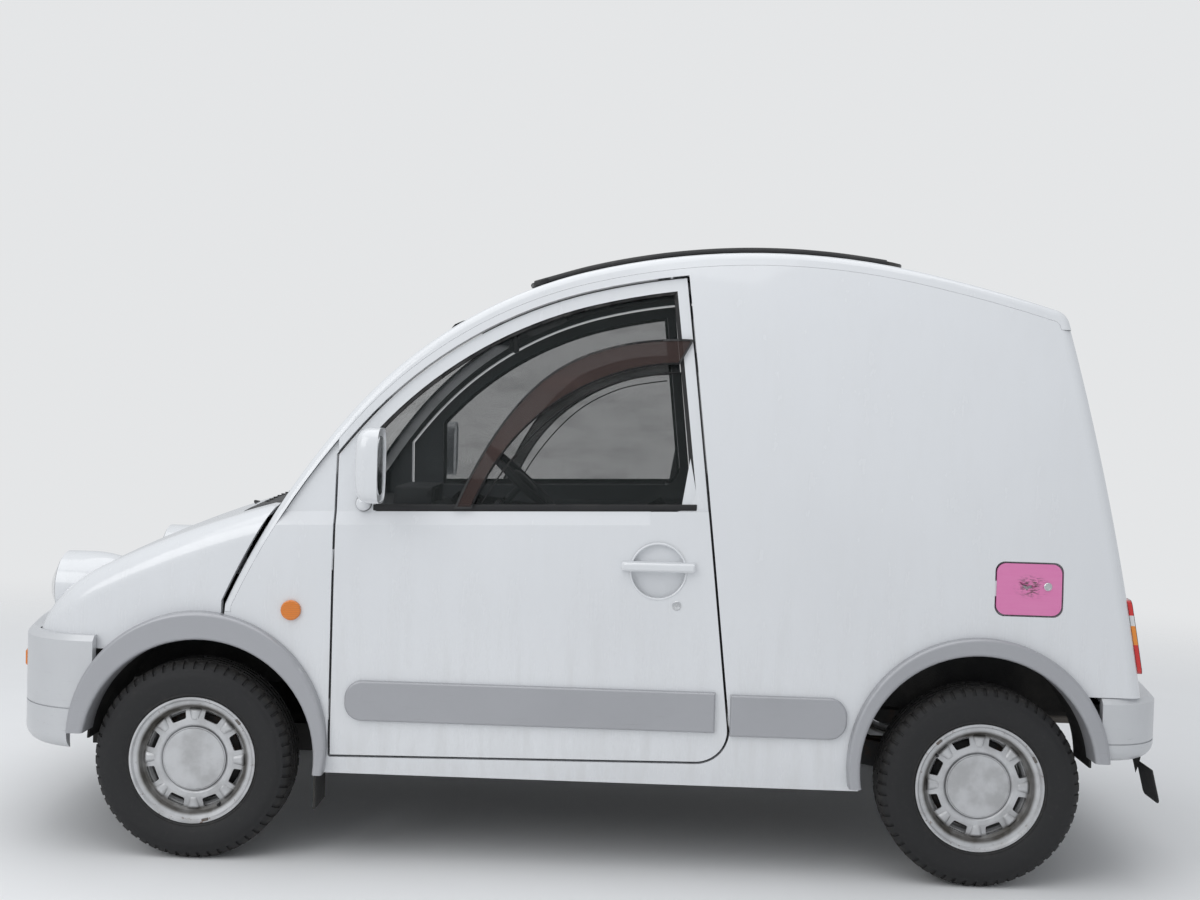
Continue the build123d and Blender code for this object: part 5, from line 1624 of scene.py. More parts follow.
@dataclass(frozen=True)
class CanvasTop:
    """Folding canvas roof: a sheet stretched over bows, with its two bars, side rails and latches."""

    front_x: float = -0.184
    rear_x: float = 0.93
    half: float = 0.526
    bows: tuple[float, ...] = (0.035, 0.262, 0.489, 0.716)
    cuts: tuple[int, int] = (56, 40)
    bar_half: float = 0.465

    def build(self, palette: Palette) -> None:
        """Build the sheet and its fittings."""
        sheet = self._sheet()
        rails = self._rails()
        front = self._front_bar()
        rear = self._bar("canvas_rear_bar", self.rear_x - 0.006, 0.008)
        for fitting in (front, rear, rails):
            fitting.dress(palette.black, "body", "black_plastic")
        sheet.dress(palette.canvas, "body", "canvas", ("canvas_roof",), 60.0)

    def _sheet(self) -> Piece:
        """Conform a grid to the roof, lift it over its bows and let it sink between them."""
        length = self.rear_x - self.front_x
        middle = (self.front_x + self.rear_x) / 2
        sheet = Piece.grid("canvas_sheet", (middle, 0.0, 2.1), (length, 2 * self.half), (1, 1)).whole()
        bpy.ops.mesh.bevel(offset=0.052, segments=6, affect="VERTICES")
        for step in range(1, self.cuts[0]):
            sheet.cut((self.front_x + length * step / self.cuts[0], 0.0, 0.0), (1.0, 0.0, 0.0))
        for step in range(1, self.cuts[1]):
            sheet.cut((0.0, self.half * (step / (self.cuts[1] / 2) - 1), 0.0), (0.0, 1.0, 0.0))
        sheet.laid_on("canvas_roof", Axis.Z, -0.0035)
        for start, end in zip((self.front_x, *self.bows), (*self.bows, self.rear_x)):
            bay = (start + end) / 2
            sheet.points(lambda p, b=bay: abs(p.x - b) < 0.008 and abs(p.y) < self.half - 0.06)
            sheet.slide((0.0, 0.0, -0.0045), (end - start) * 0.42)
        for bow in self.bows:
            sheet.points(lambda p, b=bow: abs(p.x - b) < 0.006)
            sheet.slide((0.0, 0.0, 0.0024), 0.016)
        sheet.open_edges()
        sheet.push((0.0, 0.0, -0.011))
        return sheet.modified("SOLIDIFY", thickness=0.0018, offset=-1.0)

    def _rails(self) -> Piece:
        """Side rails that the canvas slides in."""
        made = []
        for side in (-1, 1):
            y = side * (self.half + 0.006)
            points = []
            for step in range(13):
                x = self.front_x + 0.055 + (self.rear_x - self.front_x - 0.11) * step / 12
                points.append(tuple(touch("canvas_roof", (x, y, OVER_ROOF), DOWN) + Vector((0, 0, -0.008))))
            made.append(Piece.tube("canvas_rails", points, 0.0075, 3))
        return together(made)

    def _bar(self, name: str, x: float, radius: float) -> Piece:
        """Round bar across the roof, let into it a little."""
        points = []
        for step in range(11):
            y = -self.bar_half + 2 * self.bar_half * step / 10
            points.append(tuple(touch("canvas_roof", (x, y, OVER_ROOF), DOWN) + Vector((0.0, 0.0, -0.0085))))
        return Piece.tube(name, points, radius, 3)

    def _front_bar(self) -> Piece:
        """Front bar with two latch housings."""
        bar = self._bar("canvas_front_bar", self.front_x + 0.006, 0.0082)
        latches = []
        for y in (-0.5, 0.5):
            top = touch("canvas_roof", (self.front_x + 0.045, y, OVER_ROOF), DOWN)
            latch = Piece.block("latch", tuple(top + Vector((0.0, 0.0, -0.009))), (0.075, 0.04, 0.016))
            latch.faces(facing("+z", 0.5)).inset(0.007, 0.001)
            latch.rounded(0.004, 3).turn(0.3, "Y", tuple(top))
            latches.append(latch)
        return bar.joined(*latches)


@dataclass(frozen=True)
class Lamps:
    """Headlamp bowls, bulbs and bezels, and the front indicators."""

    lamp_x: float = -1.575
    lamp_y: float = 0.49
    lamp_z: float = 0.745
    indicator: tuple[float, float] = (-0.56, 0.545)
    bowl: Outline = (
        (0.0855, -0.004), (0.08, 0.002), (0.068, 0.012), (0.048, 0.021), (0.026, 0.026), (0.012, 0.0275)
    )
    bulb: Outline = (
        (0.009, 0.0265), (0.009, 0.012), (0.0115, 0.006), (0.0115, -0.012), (0.008, -0.018), (0.003, -0.0205)
    )
    bezel: Outline = (
        (0.104, 0.004), (0.1035, -0.0015), (0.1, -0.005), (0.0945, -0.0062), (0.0915, -0.0035),
        (0.0912, 0.004),
    )

    def build(self, palette: Palette) -> None:
        """Build both sides' lamps."""
        centre = (self.lamp_x, -self.lamp_y, self.lamp_z)
        bowl = Piece.turned("lamp_bowl_left", centre, Axis.X, self.bowl, 48, capped=True)
        bowl.dressed_pair(palette.mirror, BODY, "hub_steel")
        bulb = Piece.turned("lamp_bulb_left", centre, Axis.X, self.bulb, 24, capped=True)
        bulb.dressed_pair(palette.chrome, BODY, "hub_steel")
        bezel = Piece.turned("lamp_bezel_left", centre, Axis.X, self.bezel, 64)
        bezel.dressed_pair(palette.chrome, BODY, "hub_steel")
        self._indicator(palette)

    def _indicator(self, palette: Palette) -> None:
        """Front indicator let into the bumper."""
        front = touch("front_bumper", (AHEAD, *self.indicator), REARWARD)
        lens = Piece.block("front_indicator_left", (front.x + 0.006, front.y, front.z), (0.02, 0.15, 0.048))
        lens.faces(facing("-x", 0.5)).inset(0.004, 0.002)
        lens.rounded(0.005, 3).turn(-0.3, "Z", tuple(front))
        lens.dressed_pair(palette.orange, BODY, "orange_lens")


@dataclass(frozen=True)
class DoorFittings:
    """Locks, grips, mirror shells and glasses, and the doors' inner cards, arm rests and winders."""

    lock: tuple[float, float] = (0.276, 0.781)
    mirror_centre: Point = (-0.591, -0.848, 1.157)
    mirror_size: Point = (0.078, 0.15, 0.215)
    mirror_mouth: float = 0.38
    mirror_foot: Point = (-0.627, -0.748, 1.0435)
    cup: tuple[float, float] = (0.221, 0.877)
    grip: Point = (0.221, -0.7795, 0.89)

    def build(self, palette: Palette) -> None:
        """Build both doors' fittings."""
        self._lock().dressed_pair(palette.chrome, DOORS, "hub_steel")
        self._handle().dressed_pair(palette.body, DOORS, "body_paint")
        self._cup_ring().dressed_pair(palette.body, DOORS, "body_paint")
        self._mirror_glass().dressed_pair(palette.mirror, DOORS, "hub_steel")
        self._mirror_seam().dressed_pair(palette.rubber, DOORS, "black_plastic")
        self._mirror_shell(palette)
        self._card().dressed_pair(palette.cabin, DOORS, "trim_grey")
        self._arm_rest().dressed_pair(palette.cabin, DOORS, "trim_grey")
        self._winder().dressed_pair(palette.black, DOORS, "black_plastic")

    def _lock(self) -> Piece:
        """Lock barrel with its escutcheon and slot."""
        x, z = self.lock
        profile = ((0.013, 0.002), (0.013, -0.0012), (0.0118, -0.0022), (0.009, -0.0024), (0.0084, -0.0014),
                   (0.0076, -0.0016), (0.002, -0.0018))
        barrel = Piece.turned("door_lock_left", (x, -0.77, z), Axis.Y, profile, 36, capped=True)
        slot = Piece.block("slot", (x, -0.7716, z), (0.002, 0.0012, 0.0085)).rounded(0.0005, 1)
        return barrel.joined(slot)

    def _handle(self) -> Piece:
        """Rounded grip over the handle's bar."""
        grip = Piece.block("door_grip_left", self.grip, (0.21, 0.018, 0.033))
        grip.faces(facing("-y", 0.5)).inset(0.007, 0.0022)
        grip.faces(lambda m, n: abs(n.x) > 0.5).scale((1.0, 0.8, 0.72), (self.grip[0], -0.775, self.grip[2]))
        return grip.rounded(0.0075, 4)

    def _cup_ring(self) -> Piece:
        """Raised lip round the handle's cup."""
        profile = ((0.076, 0.006), (0.0765, -0.0006), (0.0785, -0.0018), (0.081, -0.0014), (0.0822, 0.001))
        return Piece.turned("handle_cup_ring_left", (self.cup[0], -0.77, self.cup[1]), Axis.Y, profile, 72)

    def _mirror_shell(self, palette: Palette) -> None:
        """Egg-shaped mirror shell in place of the plain pod, with its stalk and pivot."""
        cx, cy, cz = self.mirror_centre
        sx, sy, sz = self.mirror_size
        shell = Piece.block("mirror_shell_left", (cx, cy, cz), (sx, sy, sz)).whole()
        shell.split(1).softened(3)
        low, high = self._ends(shell)
        whole = (1.45 * sx, 0.985 * sy, 0.985 * sz)
        shell.scale(tuple(want / (b - a) for want, a, b in zip(whole, low, high)), tuple((low + high) / 2))
        shell.slide((cx - 0.5 * sx + 0.5 * whole[0] - (low.x + high.x) / 2, 0.0, 0.0))
        face_x = cx + sx * self.mirror_mouth
        shell.cut((face_x, 0.0, 0.0), (1.0, 0.0, 0.0))
        shell.faces(lambda m, _: m.x > face_x)
        bpy.ops.mesh.delete(type="FACE")
        shell.open_edges()
        bpy.ops.mesh.edge_face_add()
        shell.faces(lambda m, n: n.x > 0.95 and m.x > cx + sx * 0.37)
        shell.inset(0.0045).inset(0.0012, -0.004)
        foot_end = (self.mirror_foot[0], -0.76, 1.0445)
        stalk = Piece.rod("stalk", (cx + 0.008, -0.792, 1.112), foot_end, 0.0125, 20)
        stalk.faces(lambda m, n: n.z < -0.4 and m.z < 1.06).inset(0.001, 0.001)
        profile = ((0.0215, 0.004), (0.0215, -0.01), (0.0185, -0.02), (0.011, -0.028), (0.004, -0.03))
        foot = Piece.turned("foot", self.mirror_foot, Axis.Y, profile, 32, capped=True)
        shell.joined(stalk, foot)
        twin = shell.copy("mirror_shell_right", mirrored=True)
        for piece, side in ((shell, "left"), (twin, "right")):
            piece.dress(palette.body, f"door_{side}", "body_paint", (f"mirror_{side}",), 40.0)

    @staticmethod
    def _ends(piece: Piece) -> tuple[Vector, Vector]:
        """Lowest and highest corner of a piece."""
        leave_edit_mode()
        places = [vertex.co for vertex in piece.shape.data.vertices]
        low = Vector([min(p[i] for p in places) for i in range(3)])
        high = Vector([max(p[i] for p in places) for i in range(3)])
        piece.whole()
        return low, high

    def _mirror_glass(self) -> Piece:
        """Slightly bowed mirror glass."""
        cx, cy, cz = self.mirror_centre
        x = cx + self.mirror_size[0] * self.mirror_mouth - 0.0035
        glass = Piece.block("mirror_glass_left", (x, cy, cz), (0.003, 0.112, 0.166))
        glass.edges(running("x")).chamfer(0.052, 8)
        glass.faces(facing("+x")).inset(0.003, 0.0008)
        return glass.rounded(0.0006, 1)

    def _mirror_seam(self) -> Piece:
        """Dark joint between the mirror's foot and the door."""
        profile = ((0.0228, 0.004), (0.0236, -0.0015), (0.0226, -0.0035), (0.0212, -0.003))
        return Piece.turned("mirror_foot_seal_left", self.mirror_foot, Axis.Y, profile, 32)

    def _card(self) -> Piece:
        """Pressed trim card on the door's inner face."""
        card = Piece.block("door_card_left", (-0.14, -0.71, 0.68), (0.98, 0.006, 0.6))
        card.edges(running("y")).chamfer(0.045, 5)
        card.faces(facing("+y")).inset(0.03, 0.003).inset(0.006, -0.003).inset(0.06, 0.0)
        card.inset(0.004, 0.003)
        return card.rounded(0.0015, 2)

    def _arm_rest(self) -> Piece:
        """Arm rest with its pull."""
        rest = Piece.block("arm_rest_left", (-0.11, -0.686, 0.76), (0.33, 0.044, 0.052))
        rest.faces(facing("+z")).inset(0.012, 0.0).slide((0.0, 0.0, 0.006))
        rest.faces(facing("-x")).slide((0.0, 0.0, 0.02))
        return rest.rounded(0.012, 4)

    def _winder(self) -> Piece:
        """Window winder."""
        hub = Piece.turned("window_winder_left", (-0.33, -0.706, 0.64), Axis.Y,
                           ((0.024, 0.0), (0.022, 0.01), (0.012, 0.014), (0.004, 0.015)), 28, capped=True)
        arm = Piece.block("arm", (-0.302, -0.694, 0.612), (0.085, 0.008, 0.014)).rounded(0.003, 2)
        arm.turn(0.78, "Y", (-0.302, 0.0, 0.612))
        knob = Piece.turned("knob", (-0.274, -0.69, 0.584), Axis.Y,
                            ((0.008, 0.0), (0.011, 0.006), (0.011, 0.022), (0.006, 0.028)), 20, capped=True)
        return hub.joined(arm, knob)


@dataclass(frozen=True)
class FuelFiller:
    """Fuel flap's lock and torn lips, and the cap behind it."""

    lock: tuple[float, float] = (1.322, 0.869)
    tear: tuple[float, float] = (1.277, 0.868)
    neck: tuple[float, float] = (1.2695, 0.8595)
    cap_teeth: int = 20

    def build(self, palette: Palette) -> None:
        """Build the flap's fittings."""
        x, z = self.lock
        y = -flank_half(z)
        lock = Piece.turned("flap_lock", (x, y, z), Axis.Y,
                            ((0.0115, 0.003), (0.0115, -0.0012), (0.0102, -0.0022), (0.0078, -0.0022),
                             (0.007, -0.001), (0.002, -0.0012)), 32, capped=True)
        lock.dress(palette.chrome, "fuel_flap", "hub_steel")
        self._lips().dress(palette.pink, "fuel_flap", "pink_paint")
        self._cap().dress(palette.black, "body", "black_plastic")
        back = Piece.block("filler_recess", (self.neck[0], -0.744, self.neck[1]), (0.178, 0.0016, 0.14))
        back.edges(running("y")).chamfer(0.024, 4)
        back.faces(facing("-y")).inset(0.004, -0.0004)
        back.dress(palette.liner, "body", "black_plastic")

    def _cap(self) -> Piece:
        """Fuel cap with teeth round its edge."""
        x, z = self.neck
        profile = ((0.04, 0.006), (0.0405, -0.006), (0.0385, -0.012), (0.034, -0.0136), (0.033, -0.011),
                   (0.024, -0.0108))
        cap = Piece.turned("fuel_cap", (x, -0.7285, z), Axis.Y, profile, 2 * self.cap_teeth, capped=True)

        def tooth(middle: Vector, normal: Vector) -> bool:
            """Every second face of the cap's edge."""
            turn = math.atan2(middle.x - x, middle.z - z)
            return abs(normal.y) < 0.4 and int(turn * self.cap_teeth / math.pi) % 2 == 0

        cap.faces(tooth)
        return cap.inset(0.0006, 0.0012, True)

    def _lips(self) -> Piece:
        """Sheet-metal lips bent in and out along the tear."""
        tx, tz = self.tear
        y = -flank_half(tz) + 0.0012
        outlines = (
            ((-0.037, 0.0135, 0.0), (-0.004, 0.0045, 0.0), (-0.012, -0.001, 0.007), (-0.03, 0.006, 0.006)),
            ((-0.004, 0.0045, 0.0), (0.0138, 0.0235, 0.0), (0.016, 0.012, -0.004), (0.006, 0.003, -0.005)),
            ((0.0138, 0.0235, 0.0), (0.0078, -0.0098, 0.0), (0.001, 0.0, 0.008), (0.007, 0.012, 0.009)),
            ((-0.014, -0.012, 0.0), (0.0078, -0.0098, 0.0), (0.0, -0.004, -0.004), (-0.009, -0.005, -0.0035)),
        )
        made = [
            Piece.chain("flap_torn_lips", [(tx + x, y + deep, tz + z) for x, z, deep in outline], True)
            for outline in outlines
        ]
        lips = together(made).whole()
        bpy.ops.mesh.quads_convert_to_tris()
        return lips.thickened(0.0009, 0.0)


@dataclass(frozen=True)
class Nose:
    """Radiator behind the grille, wipers, washer jets, cowl slots and the front bumper's bolts."""

    def build(self, palette: Palette) -> None:
        """Build the nose's fittings."""
        self._radiator().dress(palette.black, "body", "black_plastic")
        self._bolts().dress(palette.hub, "body", "hub_steel")
        self._wiper().dress(palette.black, "body", "black_plastic")
        self._jets().dress(palette.black, "hood", "black_plastic")
        self._cowl_slots().dress(palette.rubber, "body", "black_plastic")

    def _radiator(self) -> Piece:
        """Finned radiator core between its tanks."""
        core = Piece.block("radiator", (-1.56, 0.0, 0.56), (0.028, 0.56, 0.3))
        for step in range(1, 24):
            core.cut((0.0, 0.0, 0.41 + 0.3 * step / 24), (0.0, 0.0, 1.0))
        core.faces(facing("-x")).inset(0.0022, -0.008, True)
        top = Piece.block("tank", (-1.56, 0.0, 0.724), (0.044, 0.58, 0.036)).rounded(0.009, 3)
        low = Piece.block("tank", (-1.56, 0.0, 0.396), (0.044, 0.58, 0.034)).rounded(0.009, 3)
        return core.joined(top, low)

    def _bolts(self) -> Piece:
        """Bolts in the empty number plate mount."""
        made = []
        for y in (-BOLT_Y, BOLT_Y):
            front = touch("front_bumper", (AHEAD, y + 0.006, 0.5), REARWARD)
            profile = (
                (0.0028, 0.012), (0.0028, 0.0012), (0.0062, 0.001), (0.0062, -0.0004), (0.005, -0.0014),
                (0.0022, -0.0014),
            )
            centre = (front.x + 0.0016, y, 0.5)
            made.append(Piece.turned("plate_bolts", centre, Axis.X, profile, 24, capped=True))
        return together(made)

    @staticmethod
    def _on_screen(y: float, z: float) -> Vector:
        """Point of the windscreen's outer face."""
        return touch("windscreen", (AHEAD, y, z), REARWARD)

    def _wiper(self) -> Piece:
        """Wiper arms and blades parked on the windscreen's foot."""
        made = []
        for pivot_y, reach in ((0.48, -0.52), (-0.08, -0.5)):
            base = self._on_screen(pivot_y, 1.062)
            tip = self._on_screen(pivot_y + reach, 1.1)
            off = Vector((-0.01, 0.0, 0.006))
            middle = (base + tip) / 2
            on = self._on_screen(middle.y, middle.z)
            foot = base + Vector((-0.012, 0.03, -0.04))
            arm = Piece.tube("wipers", [tuple(foot), tuple(base + off * 1.7), tuple(on + off * 2.0),
                                        tuple((on + tip) / 2 + off * 1.3)], 0.0042, 2)
            rubber = []
            for step in range(9):
                y = pivot_y + reach * (0.1 + 0.9 * step / 8)
                z = 1.066 + 0.034 * step / 8
                rubber.append(tuple(self._on_screen(y, z) + off * 0.55))
            blade = Piece.tube("blade", rubber, 0.0038, 1)
            profile = ((0.013, -0.01), (0.013, 0.002), (0.01, 0.006), (0.003, 0.007))
            cap = Piece.turned("cap", tuple(foot), Axis.Z, profile, 20, capped=True)
            made.append(arm.joined(blade, cap))
        return together(made)

    def _jets(self) -> Piece:
        """Washer jets on the hood."""
        made = []
        for y in (-0.26, 0.26):
            top = touch("hood", (-1.06, y, OVER_HOOD), DOWN)
            jet = Piece.block("washer_jets", tuple(top + Vector((0.0, 0.0, 0.002))), (0.02, 0.013, 0.01))
            jet.faces(facing("+x")).scale((1.0, 0.7, 0.6), tuple(top))
            made.append(jet.rounded(0.003, 3))
        return together(made)

    def _cowl_slots(self) -> Piece:
        """Air slots across the cowl."""
        made = []
        for step in range(21):
            y = -0.5 + step * 0.05
            top = touch("cowl_bulkhead", (-0.958, y, OVER_HOOD), DOWN)
            slot = Piece.block("cowl_slots", tuple(top), (0.03, 0.01, 0.004))
            slot.faces(facing("+z")).inset(0.002, -0.002)
            made.append(slot.rounded(0.0012, 1))
        return together(made)


@dataclass(frozen=True)
class Tail:
    """Tailgate lock, blank plate with its lamp, wiper and the tail lamps' frames."""

    plate_z: float = 0.79
    plate_size: tuple[float, float] = (0.33, 0.165)
    plate_span: tuple[float, float] = (0.7, 0.88)
    lock_y: float = 0.105
    lock_profile: Outline = (
        (0.012, -0.002), (0.012, 0.004), (0.01, 0.0055), (0.007, 0.0055), (0.006, 0.004), (0.001, 0.004)
    )
    wiper_profile: Outline = ((0.018, -0.002), (0.018, 0.01), (0.012, 0.016), (0.004, 0.017))

    def build(self, palette: Palette) -> None:
        """Build the tail's fittings."""
        self._plate().dress(palette.plate, "tailgate", "trim_grey")
        self._plate_lamp().dress(palette.black, "tailgate", "black_plastic")
        self._handle().dress(palette.black, "tailgate", "black_plastic")
        self._wiper().dress(palette.black, "tailgate", "black_plastic")
        self._lamp_frames().dress(palette.black, "body", "black_plastic")
        self._reflectors().dress(palette.tail, "body", "red_lens")
        self._mudflap().dressed_pair(palette.rubber, BODY, "black_plastic")

    @staticmethod
    def _back(z: float, y: float = 0.0, node: str = "tailgate") -> Vector:
        """Point of a node's rear face at a height and a distance from the middle."""
        return touch(node, (BEHIND, y, z), FORWARD)

    def _lean(self) -> float:
        """Lean of the tail over the plate's height, in radians."""
        low, high = self.plate_span
        foot = self._back(low)
        head = self._back(high)
        return math.atan2(foot.x - head.x, high - low)

    def _plate(self) -> Piece:
        """Blank plate with a rolled edge on its holder."""
        back = self._back(self.plate_z)
        plate = Piece.block("blank_number_plate", (back.x + 0.0105, 0.0, self.plate_z),
                            (0.003, self.plate_size[0], self.plate_size[1]))
        plate.edges(running("x")).chamfer(0.012, 4)
        plate.faces(facing("+x")).inset(0.004, 0.0).inset(0.002, -0.0014)
        plate.rounded(0.0006, 1)
        profile = ((0.006, 0.0), (0.006, 0.0022), (0.004, 0.0036), (0.001, 0.0038))
        for y in (-BOLT_Y, BOLT_Y):
            centre = (back.x + 0.0115, y, self.plate_z + 0.062)
            plate.joined(Piece.turned("bolt", centre, Axis.X, profile, 20, capped=True))
        return plate.turn(self._lean(), "Y", (back.x, 0.0, self.plate_z))

    def _plate_lamp(self) -> Piece:
        """Plate lamp housing above the plate and its holder behind it."""
        back = self._back(0.905)
        lamp = Piece.block("plate_lamp", (back.x + 0.01, 0.0, 0.905), (0.03, 0.19, 0.026))
        lamp.faces(facing("-z")).inset(0.004, -0.003)
        lamp.rounded(0.006, 3)
        hold = self._back(self.plate_z)
        holder = Piece.block("holder", (hold.x + 0.004, 0.0, self.plate_z), (0.012, 0.345, 0.172))
        holder.faces(facing("+x")).inset(0.01, 0.0)
        holder.rounded(0.004, 2).turn(self._lean(), "Y", (hold.x, 0.0, self.plate_z))
        return lamp.joined(holder)

    def _handle(self) -> Piece:
        """Pull handle with its lock under the plate."""
        back = self._back(0.65)
        grip = Piece.block("tailgate_handle", (back.x + 0.008, 0.0, 0.65), (0.022, 0.15, 0.034))
        grip.faces(facing("+x")).inset(0.006, 0.0).slide((0.003, 0.0, 0.0))
        grip.faces(facing("-z")).inset(0.004, -0.01)
        centre = (back.x + 0.002, self.lock_y, 0.65)
        lock = Piece.turned("lock", centre, Axis.X, self.lock_profile, 28, capped=True)
        return grip.rounded(0.0045, 3).joined(lock)

    def _wiper(self) -> Piece:
        """Rear wiper parked level on the tailgate glass."""
        base = self._back(1.01)
        centre = (base.x, 0.0, 1.01)
        spindle = Piece.turned("rear_wiper", centre, Axis.X, self.wiper_profile, 24, capped=True)
        rubber = []
        for step in range(7):
            y = -0.03 - 0.4 * step / 6
            hit = self._back(1.062, y, "tailgate_glass")
            rubber.append((hit.x + 0.0055, y, 1.062))
        blade = Piece.tube("blade", rubber, 0.0038, 1)
        run = [
            (base.x + 0.011, 0.0, 1.01), (base.x + 0.014, -0.02, 1.045),
            (rubber[2][0] + 0.01, -0.14, 1.064), (rubber[3][0] + 0.004, -0.23, 1.062),
        ]
        arm = Piece.tube("arm", run, 0.0045, 2)
        return spindle.joined(blade, arm)

    def _lamp_frames(self) -> Piece:
        """Dark frames round the tail lamps."""
        frame = Piece.band("tail_lamp_frames", "tail_lamps", (1.0, 0.0, 0.1), 0.0045)
        return frame.thickened(0.0014)

    def _mudflap(self) -> Piece:
        """Foot of the rubber flap that hangs inside the rear bumper."""
        flap = Piece.block("rear_mudflap_left", (1.663, -0.6275, 0.286), (0.005, 0.125, 0.102))
        flap.edges(lambda m, way: abs(way.x) > 0.9 and m.z < 0.28).chamfer(0.016, 4)
        flap.faces(facing("+x")).inset(0.008, -0.0012)
        return flap.rounded(0.0012, 1).turn(0.245, "Y", (1.6505, -0.6275, 0.337))

    def _reflectors(self) -> Piece:
        """Reflectors let into the rear bumper."""
        made = []
        for y in (-0.56, 0.56):
            back = self._back(0.48, y, "rear_bumper")
            lens = Piece.block("rear_reflectors", (back.x - 0.001, y, 0.48), (0.006, 0.07, 0.026))
            lens.faces(facing("+x")).inset(0.003, 0.001)
            lens.rounded(0.0015, 2).turn(-0.12 if y > 0 else 0.12, "Z", tuple(back))
            made.append(lens)
        return together(made)


@dataclass(frozen=True)
class Seats:
    """Two stuffed cloth seats with headrests, on steel pedestals and slides."""

    places: tuple[float, float] = (-0.35, 0.35)
    cushion_centre: tuple[float, float] = (0.085, 0.628)
    cushion_size: Point = (0.405, 0.43, 0.088)
    back_foot: tuple[float, float] = (0.325, 0.64)
    back_size: Point = (0.066, 0.425, 0.47)
    back_lean: float = 0.165
    head_centre: tuple[float, float] = (0.42, 1.24)
    head_size: Point = (0.052, 0.232, 0.142)
    channels: tuple[float, float] = (-0.115, 0.115)
    fineness: float = 0.0065
    pressure: float = 3.0

    def build(self, palette: Palette) -> None:
        """Stuff one seat and copy it to the other side."""
        y = self.places[0]
        across = self.places[1] - y
        pads = [
            (self._cushion(y), palette.seat_base, ("seats",), 0.7),
            (self._back(y), palette.seat_face, (), 0.6),
            (self._head(y), palette.seat_face, (), 0.8),
        ]
        for pad, finish, nodes, fill in pads:
            twin = pad.copy(pad.right_name(), (0.0, across, 0.0))
            for one in (pad, twin):
                one.dress(finish, "body", "seat_fabric", nodes if one is pad else (), 80.0)
        for make, finish, slot in (
            (self._pedestal, palette.frame, "frame_steel"), (self._posts, palette.chrome, "hub_steel")
        ):
            part = make(y)
            part.copy(part.right_name(), (0.0, across, 0.0)).dress(finish, "body", slot)
            part.dress(finish, "body", slot)

    def _cushion(self, y: float) -> Piece:
        """Seat cushion, higher at its front and sewn along two channels."""
        x, z = self.cushion_centre
        pad = Piece.block("seat_cushion_left", (x, y, z), self.cushion_size)
        pad.faces(facing("-x")).slide((0.0, 0.0, 0.012))
        pad.faces(facing("+z")).scale((0.95, 0.93, 1.0), (x, y, z))
        pad.rounded(0.026, 3).stuffed(self.fineness, self.pressure, 0.012)
        for side in self.channels:
            pad.points(lambda p, s=side: abs(p.y - y - s) < 0.004 and p.z > z + 0.02)
            pad.slide((0.0, 0.0, -0.006), 0.02)
        return pad.softened(1)

    def _back(self, y: float) -> Piece:
        """Backrest, leaning back and sewn along two channels."""
        x, z = self.back_foot
        tall = self.back_size[2]
        pad = Piece.block("seat_back_left", (x, y, z + tall / 2), self.back_size)
        pad.faces(facing("+z")).scale((0.82, 0.86, 1.0), (x, y, z))
        pad.rounded(0.022, 3).stuffed(self.fineness, self.pressure, 0.01)
        for side in self.channels:
            pad.points(lambda p, s=side: abs(p.y - y - s) < 0.004 and p.x < x - 0.02)
            pad.slide((0.006, 0.0, 0.0), 0.02)
        lean = math.tan(self.back_lean)
        for step in range(1, 10):
            level = z + tall * step / 10
            pad.points(lambda p, s=level: p.z > s)
            pad.slide((lean * tall / 10, 0.0, 0.0))
        return pad.softened(1)

    def _head(self, y: float) -> Piece:
        """Headrest."""
        x, z = self.head_centre
        pad = Piece.block("seat_headrest_left", (x, y, z), self.head_size)
        pad.faces(facing("+z")).scale((0.9, 0.85, 1.0), (x, y, z))
        return pad.rounded(0.02, 3).stuffed(self.fineness, self.pressure, 0.008).softened(1)

    def _pedestal(self, y: float) -> Piece:
        """Folded steel pedestal with its slides and lever."""
        box = Piece.block("seat_pedestal_left", (0.125, y, 0.4515), (0.35, 0.37, 0.242))
        box.faces(lambda _, n: abs(n.y) > 0.9 or n.x < -0.9).inset(0.026, -0.006)
        box.faces(facing("+z")).scale((0.94, 0.94, 1.0), (0.125, y, 0.5))
        box.rounded(0.005, 2)
        slides = []
        for side in (-0.165, 0.165):
            rail = Piece.block("slide", (0.105, y + side, 0.579), (0.4, 0.03, 0.016))
            rail.faces(lambda _, n: abs(n.y) > 0.9).inset(0.004, -0.003)
            slides.append(rail.rounded(0.0015, 1))
        run = ((-0.06, 0.1, 0.585), (-0.11, 0.1, 0.58), (-0.125, 0.14, 0.575), (-0.125, 0.19, 0.575))
        lever = Piece.tube("lever", [(x, y + out, z) for x, out, z in run], 0.005, 2)
        return box.joined(*slides, lever)

    def _posts(self, y: float) -> Piece:
        """Headrest posts."""
        made = []
        for side in (-0.055, 0.055):
            foot, head = (0.402, y + side, 1.085), (0.418, y + side, 1.2)
            post = Piece.rod("seat_posts_left", foot, head, 0.0055, 14)
            post.faces(facing("+z")).inset(0.001, 0.0005)
            collar = Piece.turned("collar", (0.404, y + side, 1.112), Axis.Z,
                                  ((0.011, -0.004), (0.011, 0.002), (0.008, 0.005), (0.006, 0.005)), 18)
            made.append(post.joined(collar))
        return together(made)


